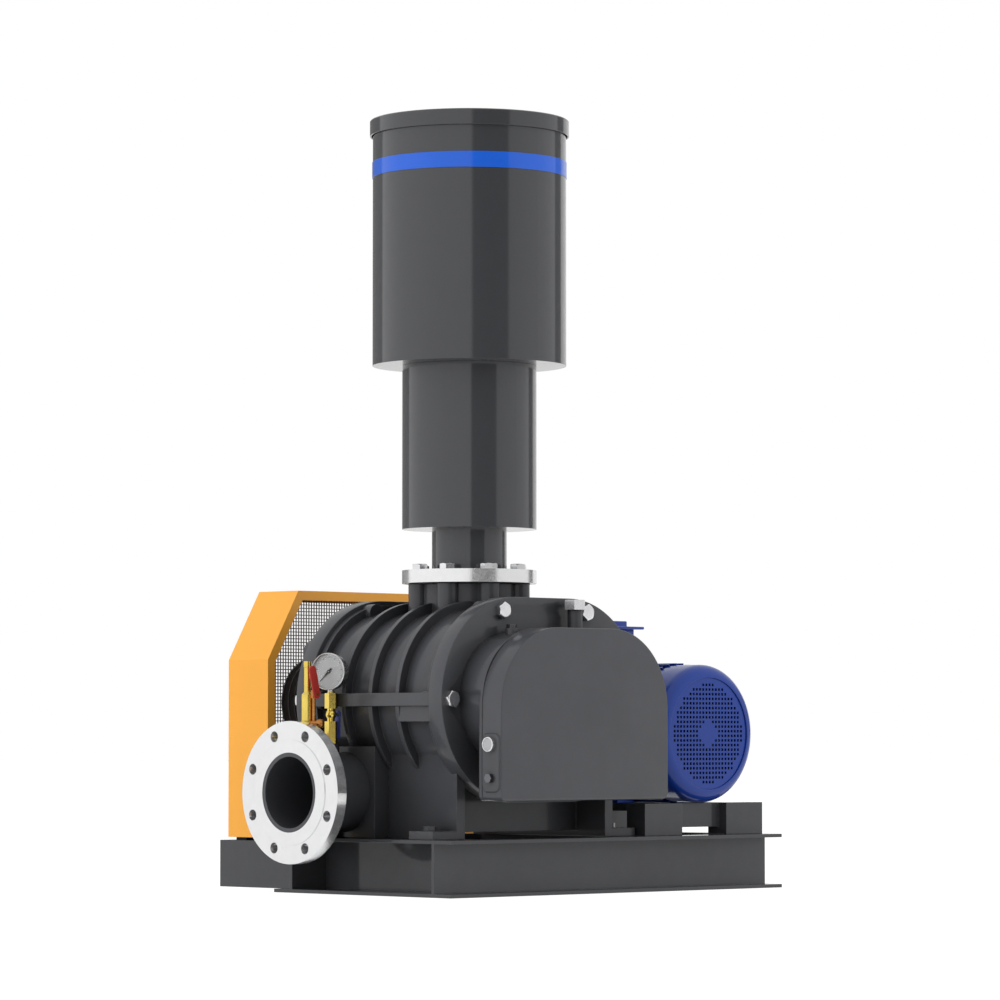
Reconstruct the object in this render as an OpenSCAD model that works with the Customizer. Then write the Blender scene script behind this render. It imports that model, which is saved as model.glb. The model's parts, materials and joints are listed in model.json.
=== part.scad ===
// Belt driven three-lobe roots blower on a channel frame, with inlet silencer, electric motor,
// belt guard and discharge fittings. X runs along the shafts towards the timing gears, -Y is the
// discharge side, +Z is up. The origin is the centre of the anchor hole pattern on the floor.

/* [Base frame] */
// Length of the side channels
base_len = 960; // [900:10:1100]
// Width over the webs of the side channels
base_w = 424; // [400:2:460]
// Height of the channels
base_h = 112; // [100:1:130]
// How far the channel flanges stand out from the webs
flange_out = 48; // [40:1:60]
// Thickness of webs and flanges
channel_t = 7; // [5:0.5:10]
// Depth of the recess at the discharge end
recess_depth = 92; // [60:1:120]
// Diameter of the anchor holes
anchor_d = 18; // [14:1:22]
// Distance from a channel end to its anchor hole
anchor_inset = 80; // [50:5:120]

/* [Guard support] */
// Height of the outrigger frame
support_h = 98; // [90:1:104]
// Outer face of the outrigger, measured from the middle of the base
support_reach = 614; // [610:1:660]
// Width of its bars
support_bar = 60; // [40:1:80]

/* [Blower] */
// Distance from the base centre to the blower centre, towards the discharge end
blower_back = 180; // [170:1:190]
// Height of the rotor shafts
shaft_z = 389; // [385:1:400]
// Distance between the two rotor shafts
shaft_gap = 200; // [196:1:204]
// Length between the end plates
casing_len = 352; // [340:2:360]
// Half of the flat width of the oval casing
oval_half = 77; // [72:1:80]
// Round radius of the casing wall
wall_r = 180; // [176:1:184]
// Round radius of the ribs
rib_r = 199; // [192:1:203]
// Thickness of a rib
rib_t = 10; // [6:1:14]
// Distance between the ribs
rib_pitch = 79; // [70:1:84]
// Round radius of the end plates
plate_r = 205; // [204:1:212]
// Thickness of the end plates
plate_t = 38; // [36:1:46]
// Radius on which the end plate bolts sit
plate_bolt_r = 182; // [180:1:188]
// Width of a foot wall
leg_t = 22; // [18:1:28]
// Distance between the inner faces of the foot walls
leg_gap = 396; // [380:2:410]
// How far the feet stand out from the walls
foot_out = 65; // [55:1:80]
// Thickness of the feet
foot_t = 17; // [12:1:22]
// Length of one foot along the shafts
foot_len = 69; // [60:1:75]
// Outer diameter of the inlet neck
neck_d = 218; // [204:1:222]
// Height of the top of the inlet neck
neck_top = 625; // [615:1:645]
// Diameter of the inlet passage
inlet_bore_d = 140; // [120:1:146]

/* [Rotors and gears] */
// Gap between a rotor and its true profile
rotor_clear = 0.35; // [0.3:0.05:0.6]
// Gap between the rotor ends and the end plates
end_clear = 0.4; // [0.3:0.1:1]
// Gap between the lobe tips and the casing wall
tip_clear = 0.4; // [0.3:0.1:1]
// Diameter of the rotor shafts in their bearings
shaft_d = 55; // [50:1:58]
// Teeth of one timing gear
gear_teeth = 40; // [32:1:48]
// Face width of the timing gears
gear_w = 36; // [24:1:40]
// Thinning of each tooth flank
backlash = 0.2; // [0.15:0.05:0.4]
// Outer diameter of the rotor bearings
bearing_d = 120; // [110:1:130]
// Width of the rotor bearings
bearing_w = 29; // [24:1:31]
// Radial running clearance of the shafts in their bearings
running_fit = 0.05; // [0.02:0.01:0.09]

/* [Gear end] */
// Depth of the gear housing, from the end plate to the cover
housing_depth = 66; // [64:1:76]
// Depth of the gear cover
cover_depth = 55; // [45:1:70]
// Wall of the gear housing around the timing gears
gear_case_wall = 23; // [18:1:26]
// How far the gear cover stands out over the gear housing
cover_step = 2.5; // [0:0.5:6]
// Height of the underside of the gear cover
cover_low = 189; // [185:1:200]
// Height of the top of the gear cover
cover_high = 531; // [526:1:545]
// Radius of the upper corners of the gear cover
cover_corner = 158; // [130:1:165]
// Radius of its lower corners
cover_foot_r = 12; // [11:1:30]
// Wall of covers and housings
cover_wall = 9; // [6:1:10]
// Rounding of the gear cover's lower front edge
cover_edge_r = 8; // [4:1:12]
// Depth of the drive side oil cover
oil_cover_depth = 74; // [60:1:90]
// Width of the drive side oil cover
oil_cover_w = 394; // [360:2:400]
// Height of the top of the drive side oil cover
oil_cover_high = 515; // [500:1:525]
// Diameter of the sight glass
sight_d = 30; // [25:1:38]
// Drop of the sight glass below the shafts
sight_drop = 89; // [80:1:95]
// Drop of the level plug below the shafts
plug_drop = 155; // [145:1:165]
// Diameter of the oil filler neck
filler_d = 30; // [28:1:40]
// Distance from the end plate to the oil filler's axis
filler_out = 31; // [24:1:34]
// Height of the top of the oil filler cap
filler_top = 590; // [580:1:600]

/* [Inlet silencer] */
// Thickness of the inlet flange
inlet_flange_t = 27; // [20:1:30]
// Diameter of the inlet flange
inlet_flange_d = 275; // [270:1:285]
// Bolt circle of the inlet flange
inlet_pcd = 216; // [208:1:218]
// Thickness of the gasket under the flange
gasket_t = 2; // [1:0.5:4]
// Diameter of the silencer pipe
riser_d = 153; // [148:1:160]
// Wall of the silencer pipe
riser_wall = 5; // [3:0.5:6]
// Height of the underside of the lower shell
lower_shell_z = 738; // [720:1:760]
// Diameter of the lower shell
lower_shell_d = 275; // [260:1:300]
// Height of the underside of the upper shell
upper_shell_z = 1073; // [1050:1:1100]
// Diameter of the upper shell
upper_shell_d = 397; // [380:1:410]
// Sheet thickness of the shells
shell_t = 3; // [2:0.5:5]
// Distance from the top of the lid down to the underside of the blue band
band_drop = 118; // [100:1:135]
// Height of the blue band
band_h = 32; // [20:1:40]
// Height of the lid's skirt
lid_h = 32; // [24:1:36]
// Height of the top of the lid
lid_top = 1577; // [1560:1:1600]
// How far the lid stands out over the shell
lid_over = 6; // [5:0.5:10]

/* [Discharge] */
// Distance from the middle of the casing to the discharge pipe's axis
outlet_x = 97; // [90:1:100]
// Height of the discharge pipe's axis
outlet_z = 204; // [200:1:207]
// Distance from the blower centre to the discharge flange's face
outlet_reach = 406; // [400:1:420]
// Outer diameter of the discharge pipe
outlet_pipe_d = 159; // [150:1:168]
// Wall of the discharge pipe
outlet_wall = 8; // [4:0.5:9]
// Diameter of the discharge flange
outlet_flange_d = 285; // [280:1:300]
// Thickness of the discharge flange
outlet_flange_t = 26; // [20:1:30]
// Bolt circle of the discharge flange
outlet_pcd = 240; // [236:1:244]
// Diameter of its bolt holes
outlet_hole_d = 22; // [18:1:24]
// Number of its bolt holes
outlet_holes = 8; // [8:4:12]
// Diameter of the raised face
outlet_face_d = 212; // [205:1:215]
// Side of the square adapter on the casing
adapter_w = 184; // [176:1:184]
// Depth of the adapter
adapter_t = 38; // [30:1:44]

/* [Valves and gauge] */
// Distance from the flange face to the relief valve
relief_back = 50; // [46:1:56]
// Distance from the flange face to the gauge column
gauge_back = 113.5; // [112:0.5:125]
// Height of the relief valve's top
relief_top = 466; // [455:1:480]
// Height of the gauge's centre
gauge_z = 446; // [440:1:455]
// Diameter of the gauge
gauge_d = 75; // [63:1:80]
// Depth of the gauge case
gauge_depth = 24; // [22:1:30]
// Turn of the gauge face towards the gear end, degrees
gauge_turn = 22; // [0:1:45]
// Height of the cock under the gauge
cock_z = 360; // [355:1:365]
// Length of the red vent lever
vent_lever_len = 58; // [45:1:62]
// Length of the blue cock lever
cock_lever_len = 50; // [40:1:52]

/* [Belt guard and drive] */
// Inner face of the guard, measured from the middle of the base
guard_in = 463; // [455:1:468]
// Depth of the guard along the shafts
guard_depth = 125; // [118:1:135]
// Front face of the guard, measured from the blower centre
guard_front = 139; // [136:1:144]
// Rear face of the guard, measured from the motor shaft
guard_rear = 176; // [150:1:190]
// Height of the top of the guard
guard_top = 623; // [610:1:635]
// Drop of the sloped corners
guard_drop = 146; // [120:1:160]
// Run of the front slope
guard_run = 85; // [70:1:100]
// Width of the border around the mesh
guard_border = 20; // [14:1:26]
// Sheet thickness of the guard
guard_sheet = 3; // [2:0.5:4]
// Distance between the wires of the guard mesh
mesh_pitch = 36; // [24:1:45]
// Thickness of a wire
mesh_wire = 2.4; // [2:0.2:4]
// Gap under the guard, filled by its pads
guard_gap = 6.5; // [4:0.5:8]
// Pitch diameter of the blower pulley
blower_pulley_d = 182; // [170:1:220]
// Pitch diameter of the motor pulley
motor_pulley_d = 192; // [180:1:200]
// Distance from the outer face of the guard to the middle of the pulleys
pulley_inset = 39; // [38:1:62]
// Number of belts
belts = 3; // [2:1:3]
// Distance between the belts
belt_pitch = 19; // [18:0.5:20]

/* [Motor] */
// Distance from the base centre to the motor shaft
motor_y = 291; // [288:1:300]
// Height of the motor shaft
motor_z = 322; // [320:1:330]
// Radius over the cooling fins
fin_r = 147; // [138:1:149]
// Number of cooling fins
fins = 44; // [30:2:48]
// Length of the finned frame
frame_len = 290; // [270:2:300]
// Radius of the fan cowl
cowl_r = 143; // [138:0.5:144]
// Radius of the cowl's flat grille
grille_r = 116; // [108:1:122]
// Face of the cowl, measured from the middle of the base
cowl_face = 229; // [224:1:236]
// Length of the cowl's round shoulder
cowl_shoulder = 26; // [16:1:32]
// Distance between the holes of the grille
grille_pitch = 14; // [12:0.5:20]
// Side of a square hole in the grille
grille_hole = 9; // [6:0.5:10]
// Diameter of the motor shaft
motor_shaft_d = 42; // [38:1:48]
// Distance between the two rows of motor foot bolts
foot_gauge = 216; // [210:2:226]
// Distance between the bolts of one motor foot
foot_pitch = 148; // [140:2:178]
// Distance from the base centre to the middle of the motor mount
mount_y = 294; // [288:1:298]
// Height of the motor mount above the base
mount_h = 66; // [64:1:70]
// Width of one foot block of the motor mount
mount_block = 111; // [100:1:115]
// Width of the whole motor mount
mount_w = 356; // [350:1:362]
// Depth of a mount bridge
mount_depth = 52; // [44:1:60]
// Side of the terminal box
tbox_w = 102; // [90:1:120]
// How far the lid stands out over the terminal box
tbox_over = 16; // [6:1:20]
// Height of the top of the terminal box lid
tbox_top = 561; // [550:1:575]

/* [Hidden] */
$fn = 72;
snug = 0.05;
cut = 1;
lobes = 3;

blower_y = -blower_back;
half_gap = shaft_gap / 2;
casing_half = casing_len / 2;
plate_out = casing_half + plate_t;
rotor_tip = half_gap * 4 / 3 - rotor_clear;
chamber_r = rotor_tip + tip_clear;
base_half = base_len / 2;
web_out = base_w / 2;
front_web_y = -base_half + recess_depth;
anchor_x = web_out + flange_out / 2;
anchor_y = base_half - anchor_inset;
leg_half = leg_gap / 2;
leg_len = 2 * casing_half + 34;
foot_tip = leg_half + leg_t + foot_out;
housing_out = plate_out + housing_depth;
cover_out = housing_out + cover_depth;
oil_cover_out = plate_out + oil_cover_depth;
oil_cover_low = 2 * shaft_z - oil_cover_high;
gear_module = shaft_gap / gear_teeth;
gear_x = plate_out + 12;
gear_cavity_r = half_gap + gear_module + 5;
house_r = gear_cavity_r + gear_case_wall;
cover_w = 2 * (half_gap + house_r + cover_step);
band_z = lid_top - band_drop;
gear_shaft_end = 20;

flange_low = neck_top + gasket_t;
flange_top = flange_low + inlet_flange_t;

outlet_y = blower_y - outlet_reach;
wall_y = blower_y - leg_half - leg_t;
adapter_y = wall_y - adapter_t;
relief_y = outlet_y + relief_back;
gauge_y = outlet_y + gauge_back;
pipe_top = outlet_z + outlet_pipe_d / 2;
outlet_bore_d = outlet_pipe_d - 2 * outlet_wall;
vent_x = -outlet_x + 19;
vent_z = 400;
branch_z = 341;
lever_t = 3;
pivot_fit = 0.08;
gauge_neck = 4;
stem_back = 8;
gauge_rim = 2;

drive_y = blower_y + half_gap;
driven_y = blower_y - half_gap;
guard_out = guard_in + guard_depth;
guard_low = support_h + guard_gap;
pulley_x = pulley_inset - guard_out;
pulley_w = belts * belt_pitch + 6;
belt_top = 16;
belt_deep = 11;
belt_bottom = 10;
belt_gap = 0.4;
frame_half = frame_len / 2;
mount_top = base_h + mount_h;
frame_shell_r = fin_r - 20;
bore_r = frame_shell_r - 12;
motor_bearing_d = 90;
motor_bearing_w = 23;
shield_t = 18;
foot_half = foot_pitch / 2 + 18;
stator_half = 100;
stator_wall = 37;
air_gap = 1;
fan_d = 190;
fan_hub_d = 70;
fan_w = 30;
port_d = outlet_bore_d + 4;
cowl_t = 2.5;
tbox_x = -88;
bolt_af = 30;
bolt_head = 13;
bolt_shank = 20;
needle_r = 26;

// A point on a circle
function polar(r, a) = [r * cos(a), r * sin(a)];

// One arch of the lobe and one of the hollow, each moved inwards by c along its normal
function lobe_point(u, t, c) = [7 * u * cos(t) - u * cos(7 * t) - c * sin(4 * t),
    7 * u * sin(t) - u * sin(7 * t) + c * cos(4 * t)];
function hollow_point(u, t, c) = [5 * u * cos(t) + u * cos(5 * t) - c * sin(2 * t),
    5 * u * sin(t) - u * sin(5 * t) - c * cos(2 * t)];
function turned(p, a) = [p[0] * cos(a) - p[1] * sin(a), p[0] * sin(a) + p[1] * cos(a)];
function rotor_points(a, c, steps = 18) = [for (k = [0 : 2 * lobes - 1], i = [0 : steps - 1])
    let (t = 60 * (i + 0.5) / steps)
    turned(k % 2 == 0 ? lobe_point(a / 6, t, c) : hollow_point(a / 6, t, c), 60 * k)];

// Involute tooth flank: half angle of the tooth at radius r
function inv(a) = tan(a) - a * PI / 180;
function flank_angle(z, m, r) = let (rb = z * m / 2 * cos(20), a = acos(min(1, rb / r)))
    90 / z - backlash / (z * m / 2) * 180 / PI + (inv(20) - inv(a)) * 180 / PI;
function gear_points(z, m, steps = 4) = let (
        root = z * m / 2 - 1.25 * m, tip = z * m / 2 + m, start = max(root + 0.3, z * m / 2 * cos(20)),
        radii = [for (i = [0 : steps]) start + (tip - start) * i / steps],
        foot_angle = flank_angle(z, m, start) + 0.2)
    [for (k = [0 : z - 1]) let (a = 360 * k / z) each concat(
        [polar(root, a - foot_angle)],
        [for (r = radii) polar(r, a - flank_angle(z, m, r))],
        [for (i = [steps : -1 : 0]) polar(radii[i], a + flank_angle(z, m, radii[i]))],
        [polar(root, a + foot_angle)])];

// The outline of a convex shape, moved inwards by d
function edge_in(p, q, d) = let (v = q - p, n = [-v[1], v[0]] / norm(v)) [p + n * d, q + n * d];
function crossing(e, f) = let (a = e[1] - e[0], b = f[1] - f[0], w = f[0] - e[0],
    t = (w[0] * b[1] - w[1] * b[0]) / (a[0] * b[1] - a[1] * b[0])) e[0] + a * t;
function inset(p, d) = let (n = len(p)) [for (i = [0 : n - 1])
    crossing(edge_in(p[(i + n - 1) % n], p[i], d), edge_in(p[i], p[(i + 1) % n], d))];

// Whether q lies inside a convex outline
function within(p, q) = min([for (i = [0 : len(p) - 1]) let (a = p[i], b = p[(i + 1) % len(p)])
    (b[0] - a[0]) * (q[1] - a[1]) - (b[1] - a[1]) * (q[0] - a[0])]) > 0;

// Places children on an axis along X: their x becomes Y, their y becomes Z
module facing_x(x, y, z) translate([x, y, z]) rotate([90, 0, 90]) children();
// Places children on an axis along -Y: their x stays X, their y becomes Z
module facing_front(x, y, z) translate([x, y, z]) rotate([90, 0, 0]) children();
module rod(d, h) cylinder(d = d, h = h);
module tube(d, bore, h) difference() {
    cylinder(d = d, h = h);
    translate([0, 0, -cut]) cylinder(d = bore, h = h + 2 * cut);
}
module hexagon(af, h) cylinder(d = af / cos(30), h = h, $fn = 6);
module oval(half, r) {
    square([2 * half, 2 * r], center = true);
    for (s = [-1, 1]) translate([s * half, 0]) circle(r);
}
module oval_slab(x0, x1, half, r) facing_x(x0, blower_y, shaft_z) linear_extrude(x1 - x0) oval(half, r);
module block(lo, hi) translate(lo) cube(hi - lo);
// A hexagon bolt whose head rises from z = 0 and whose shank goes down by the given length
module bolt(d, af, head, shank) {
    hexagon(af, head);
    translate([0, 0, -shank]) cylinder(d = d, h = shank + head / 2);
}

// Channel section with its flanges pointing to +X, web on the left, standing on z = 0
module channel(out, h, t) {
    square([t, h]);
    for (z = [0, h - t]) translate([0, z]) square([t + out, t]);
}

module side_channels() color([0.28, 0.28, 0.3]) for (s = [-1, 1]) difference() {
    mirror([s < 0 ? 1 : 0, 0, 0]) translate([web_out - channel_t, base_half, 0]) rotate([90, 0, 0])
        linear_extrude(base_len) channel(flange_out, base_h, channel_t);
    for (e = [-1, 1]) translate([s * anchor_x, e * anchor_y, -cut]) rod(anchor_d, channel_t + 2 * cut);
}

module front_cross_member() color([0.28, 0.28, 0.3]) {
    inner = web_out - channel_t;
    block([-inner, front_web_y, 0], [inner, front_web_y + channel_t, base_h]);
    for (z = [0, base_h - channel_t])
        block([-inner, -base_half, z], [inner, front_web_y, z + channel_t]);
}

module cross_members() color([0.28, 0.28, 0.3]) {
    inner = web_out - channel_t;
    for (y = [blower_y + leg_half + leg_t + 8, mount_y - mount_w / 2 + 10])
        translate([-inner, y, 0]) rotate([90, 0, 90])
            linear_extrude(2 * inner) channel(flange_out, base_h, channel_t);
    translate([-inner, base_half - channel_t - flange_out, 0]) rotate([90, 0, 90])
        linear_extrude(2 * inner) translate([channel_t + flange_out, 0]) mirror([1, 0])
            channel(flange_out, base_h, channel_t);
}

module guard_support() color([0.28, 0.28, 0.3]) {
    front = blower_y - guard_front;
    rear = motor_y + guard_rear;
    for (y = [front, rear - support_bar])
        block([-support_reach, y, 0], [-web_out - flange_out - snug, y + support_bar, support_h]);
    block([-support_reach, front + support_bar, 0],
        [-support_reach + support_bar, rear - support_bar, support_h]);
}

module guard_pads() color([0.1, 0.1, 0.1]) {
    inset_y = 14;
    pad = 32;
    for (x = [-guard_in - 10 - pad, -guard_out + 10], y = [blower_y - guard_front + inset_y,
            motor_y + guard_rear - inset_y - pad])
        block([x, y, support_h], [x + pad, y + pad, guard_low]);
}

// Two bridges across the base carry two slide bars for the motor feet
module motor_mount() color([0.28, 0.28, 0.3]) {
    web_low = 16;
    lo = mount_y - mount_w / 2;
    hi = mount_y + mount_w / 2;
    for (s = [-1, 1]) {
        x0 = s > 0 ? web_out - mount_depth : -web_out;
        for (y = [lo, hi - mount_block])
            block([x0, y, base_h], [x0 + mount_depth, y + mount_block, mount_top]);
        block([x0 + mount_depth / 2 - 5, lo + mount_block, base_h + web_low],
            [x0 + mount_depth / 2 + 5, hi - mount_block, mount_top]);
        bar_x = web_out - mount_depth;
        translate([0, motor_y + s * foot_gauge / 2, 0])
            block([-bar_x, -28, mount_top - 16], [bar_x, 28, mount_top]);
    }
}

// Spots of the end plate bolts around the two round ends of the oval
plate_bolt_spots = [for (s = [-1, 1], a = [-77, 0, 77])
    [s * (oval_half + plate_bolt_r * cos(a)), plate_bolt_r * sin(a)]];

module casing() color([0.32, 0.33, 0.35]) {
    plenum_x = [-outlet_x - adapter_w / 2 + 8, casing_half - 66];
    plenum_low = outlet_z - outlet_bore_d / 2 - 8;
    neck_r = neck_d / 2;
    difference() {
        union() {
            oval_slab(-casing_half, casing_half, oval_half, wall_r);
            for (i = [-1 : 1]) oval_slab(i * rib_pitch - rib_t / 2, i * rib_pitch + rib_t / 2,
                oval_half, rib_r);
            for (s = [-1, 1]) {
                oval_slab(s > 0 ? casing_half - 14 : -casing_half,
                    s > 0 ? casing_half : -casing_half + 14, oval_half, rib_r - 3);
                // Stiffening bar along the shafts and the boss under it
                bar_tip = oval_half + rib_r + 3;
                block([-casing_half, blower_y + (s > 0 ? bar_tip - 60 : -bar_tip), shaft_z - 13],
                    [casing_half, blower_y + (s > 0 ? bar_tip : 60 - bar_tip), shaft_z + 13]);
                block([casing_half - 96, blower_y + (s > 0 ? bar_tip - 70 : 6 - bar_tip), shaft_z - 44],
                    [casing_half, blower_y + (s > 0 ? bar_tip - 6 : 70 - bar_tip), shaft_z - 13]);
                // Foot wall and foot
                wall_in = s > 0 ? leg_half : -leg_half - leg_t;
                block([-leg_len / 2, blower_y + wall_in, base_h],
                    [leg_len / 2, blower_y + wall_in + leg_t, shaft_z - 100]);
                for (e = [-1, 1])
                    block([e > 0 ? leg_len / 2 - foot_len : -leg_len / 2,
                            blower_y + (s > 0 ? leg_half + leg_t - 1 : -foot_tip), base_h],
                        [e > 0 ? leg_len / 2 : foot_len - leg_len / 2,
                            blower_y + (s > 0 ? foot_tip : 1 - leg_half - leg_t), base_h + foot_t]);
            }
            // Bosses behind the end plate bolts
            for (p = plate_bolt_spots, x = [-casing_half, casing_half - 26])
                facing_x(x, blower_y + p[0], shaft_z + p[1]) rod(40, 26);
            // Inlet neck with its stud bosses
            translate([0, blower_y, shaft_z]) rod(neck_d, neck_top - shaft_z);
            for (i = [0 : 7]) rotate_about(45 * i + 22.5) translate([neck_r, 0, shaft_z])
                rod(45, neck_top - shaft_z);
            // Discharge box under the rotors
            difference() {
                block([plenum_x[0], blower_y - leg_half, plenum_low],
                    [plenum_x[1], blower_y + leg_half, shaft_z - 110]);
                block([plenum_x[0] + 8, blower_y - leg_half + 8, plenum_low + 8],
                    [plenum_x[1] - 8, blower_y + leg_half - 8, shaft_z - 120]);
            }
        }
        for (s = [-1, 1]) facing_x(-casing_half - cut, blower_y + s * half_gap, shaft_z)
            rod(2 * chamber_r, casing_len + 2 * cut);
        // The legs end short of the end plates
        for (s = [-1, 1]) oval_slab(s > 0 ? casing_half : -casing_half - 40,
            s > 0 ? casing_half + 40 : -casing_half, oval_half, plate_r + snug);
        // Inlet passage, transfer port and discharge passage
        translate([0, blower_y, shaft_z]) rod(inlet_bore_d, neck_top - shaft_z + cut);
        block([-90, blower_y - 60, plenum_low + 8], [90, blower_y + 60, shaft_z]);
        facing_front(-outlet_x, blower_y - leg_half + 8 + cut, outlet_z)
            rod(port_d, leg_t + 8 + 2 * cut);
        // Blind holes for the flange bolts and the end plate bolts
        for (p = plate_bolt_spots, x = [-casing_half - cut, casing_half - 22])
            facing_x(x, blower_y + p[0], shaft_z + p[1]) rod(bolt_shank + 2 * snug, 22 + cut);
        for (i = [0 : 7]) rotate_about(45 * i + 22.5) translate([inlet_pcd / 2, 0, neck_top - 34])
            rod(bolt_shank + 2 * snug, 34 + cut);
        for (s = [-1, 1], x = foot_bolt_x) translate([x, blower_y + s * (foot_tip - 32), base_h - cut])
            rod(18, foot_t + 2 * cut);
    }
}
foot_bolt_x = [-leg_len / 2 + 32, leg_len / 2 - 43];
module rotate_about(a) translate([0, blower_y, 0]) rotate(a) children();

module end_plates() color([0.33, 0.34, 0.36]) for (s = [-1, 1]) difference() {
    oval_slab(s > 0 ? casing_half : -plate_out, s > 0 ? plate_out : -casing_half, oval_half, plate_r);
    for (y = [-1, 1]) {
        facing_x(s > 0 ? casing_half - cut : -plate_out - cut, blower_y + y * half_gap, shaft_z)
            rod(shaft_d + 6, plate_t + 2 * cut);
        facing_x(s > 0 ? plate_out - bearing_w - 2 : -plate_out - cut, blower_y + y * half_gap, shaft_z)
            rod(bearing_d + 2 * snug, bearing_w + 2 + cut);
    }
    for (p = plate_bolt_spots)
        facing_x(s > 0 ? casing_half - cut : -plate_out - cut, blower_y + p[0], shaft_z + p[1])
            rod(bolt_shank + 2 * snug, plate_t + 2 * cut);
}

// Bolts of both end plates
module casing_bolts() color([0.8, 0.8, 0.82]) for (s = [-1, 1], p = plate_bolt_spots)
    translate([s * plate_out, blower_y + p[0], shaft_z + p[1]]) rotate([0, s * 90, 0])
        bolt(bolt_shank, bolt_af, bolt_head, plate_t + 20);

module d_shape(w, lo, hi, top_r, low_r) {
    for (s = [-1, 1]) {
        translate([s * (w - top_r), hi - top_r]) circle(top_r);
        translate([s * (w - low_r), lo + low_r]) circle(low_r);
    }
    translate([-(w - top_r), hi - 2 * top_r]) square([2 * (w - top_r), 2 * top_r]);
    translate([-w, lo + low_r]) square([2 * w, hi - top_r - lo - low_r]);
    translate([-(w - low_r), lo]) square([2 * (w - low_r), low_r + cut]);
}
module cover_slab(x0, x1, less) facing_x(x0, blower_y, 0) linear_extrude(x1 - x0)
    d_shape(cover_w / 2 - less, cover_low + less, cover_high - less, cover_corner - less,
        cover_foot_r - less);

flange_plate = 8;
plug_seat = shaft_z + house_r + 8;
filler_x = plate_out + filler_out;
module gear_housing() color([0.33, 0.34, 0.36]) difference() {
    union() {
        oval_slab(plate_out, housing_out, half_gap, house_r);
        cover_slab(housing_out - flange_plate, housing_out, 0);
        translate([filler_x, drive_y - 41, shaft_z]) rod(filler_d, filler_top - 20 - shaft_z);
        translate([filler_x, driven_y - 20, shaft_z]) rod(25, plug_seat - shaft_z);
    }
    oval_slab(plate_out + cover_wall, housing_out + cut, half_gap, gear_cavity_r);
    for (y = [drive_y, driven_y]) facing_x(plate_out - cut, y, shaft_z) rod(shaft_d + 12, 14 + cut);
    translate([filler_x, drive_y - 41, shaft_z]) rod(filler_d - 9, filler_top - 20 - shaft_z + cut);
}

module gear_cover() color([0.34, 0.35, 0.37]) {
    difference() {
        cover_slab(housing_out, cover_out, 0);
        cover_slab(housing_out - cut, cover_out - cover_wall, cover_wall);
        // Rounded lower front edge
        translate([cover_out - cover_edge_r, blower_y + cover_w / 2 + cut, cover_low + cover_edge_r])
            rotate([90, 0, 0]) difference() {
                translate([0, -cover_edge_r - cut])
                    cube([cover_edge_r + cut, cover_edge_r + cut, cover_w + 2 * cut]);
                translate([0, 0, -cut]) cylinder(r = cover_edge_r, h = cover_w + 4 * cut);
            }
    }
    // Pad for the sight glass and the level plug
    facing_front(glass_x, blower_y - cover_w / 2 + 1, shaft_z - (sight_drop + plug_drop) / 2 - 3)
        linear_extrude(5) rounded(cover_depth - 7, plug_drop - sight_drop + 48, 14);
}
// A rectangle with round corners around the origin
module rounded(w, h, r) {
    square([w - 2 * r, h], center = true);
    square([w, h - 2 * r], center = true);
    for (s = [-1, 1], t = [-1, 1]) translate([s * (w / 2 - r), t * (h / 2 - r)]) circle(r);
}
glass_x = housing_out + cover_depth / 2;
pad_y = blower_y - cover_w / 2 - 4;

module oil_cover_slab(x0, x1, less) facing_x(x0, blower_y, (oil_cover_high + oil_cover_low) / 2)
    linear_extrude(x1 - x0)
        rounded(oil_cover_w - 2 * less, oil_cover_high - oil_cover_low - 2 * less, 30 - less);
module drive_oil_cover() color([0.33, 0.34, 0.36]) difference() {
    oil_cover_slab(-oil_cover_out, -plate_out, 0);
    oil_cover_slab(-oil_cover_out + cover_wall, -plate_out + cut, cover_wall);
    facing_x(-oil_cover_out - cut, drive_y, shaft_z) rod(seal_d + 2 * snug, cover_wall + 2 * cut);
}
seal_d = 80;

module ring_bearing(d, bore, w) rotate_extrude() translate([bore / 2, 0]) polygon([[0, 0], [6, 0],
    [8, 2], [d / 2 - bore / 2 - 8, 2], [d / 2 - bore / 2 - 6, 0], [d / 2 - bore / 2, 0],
    [d / 2 - bore / 2, w], [d / 2 - bore / 2 - 6, w], [d / 2 - bore / 2 - 8, w - 2], [8, w - 2],
    [6, w], [0, w]]);

module ball_bearings() color([0.75, 0.75, 0.77]) {
    for (s = [-1, 1], y = [drive_y, driven_y])
        facing_x(s > 0 ? plate_out - bearing_w - 2 : -plate_out + 2, y, shaft_z)
            ring_bearing(bearing_d, shaft_d + 2 * running_fit, bearing_w);
    for (s = [-1, 1]) facing_x(s > 0 ? frame_half : -frame_half - motor_bearing_w, motor_y, motor_z)
        ring_bearing(motor_bearing_d, motor_shaft_d + 2 * running_fit, motor_bearing_w);
}

module shaft_seal() color([0.12, 0.12, 0.12])
    facing_x(-oil_cover_out, drive_y, shaft_z) tube(seal_d, shaft_d + 0.6, cover_wall);

module rotor(tail) {
    body = casing_len - 2 * end_clear;
    facing_x(-body / 2, 0, 0) linear_extrude(body) rotate(30)
        polygon(rotor_points(half_gap, rotor_clear));
    // Shaft with its shoulder against the timing gear and the thread end
    facing_x(-tail, 0, 0) rod(shaft_d, tail + gear_x + gear_w + gear_shaft_end);
}
module drive_rotor() color([0.6, 0.62, 0.65]) translate([0, drive_y, shaft_z])
    rotor(-pulley_x + pulley_w / 2 + 1);
module driven_rotor() color([0.6, 0.62, 0.65]) translate([0, driven_y, shaft_z])
    rotor(plate_out + 20);

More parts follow.
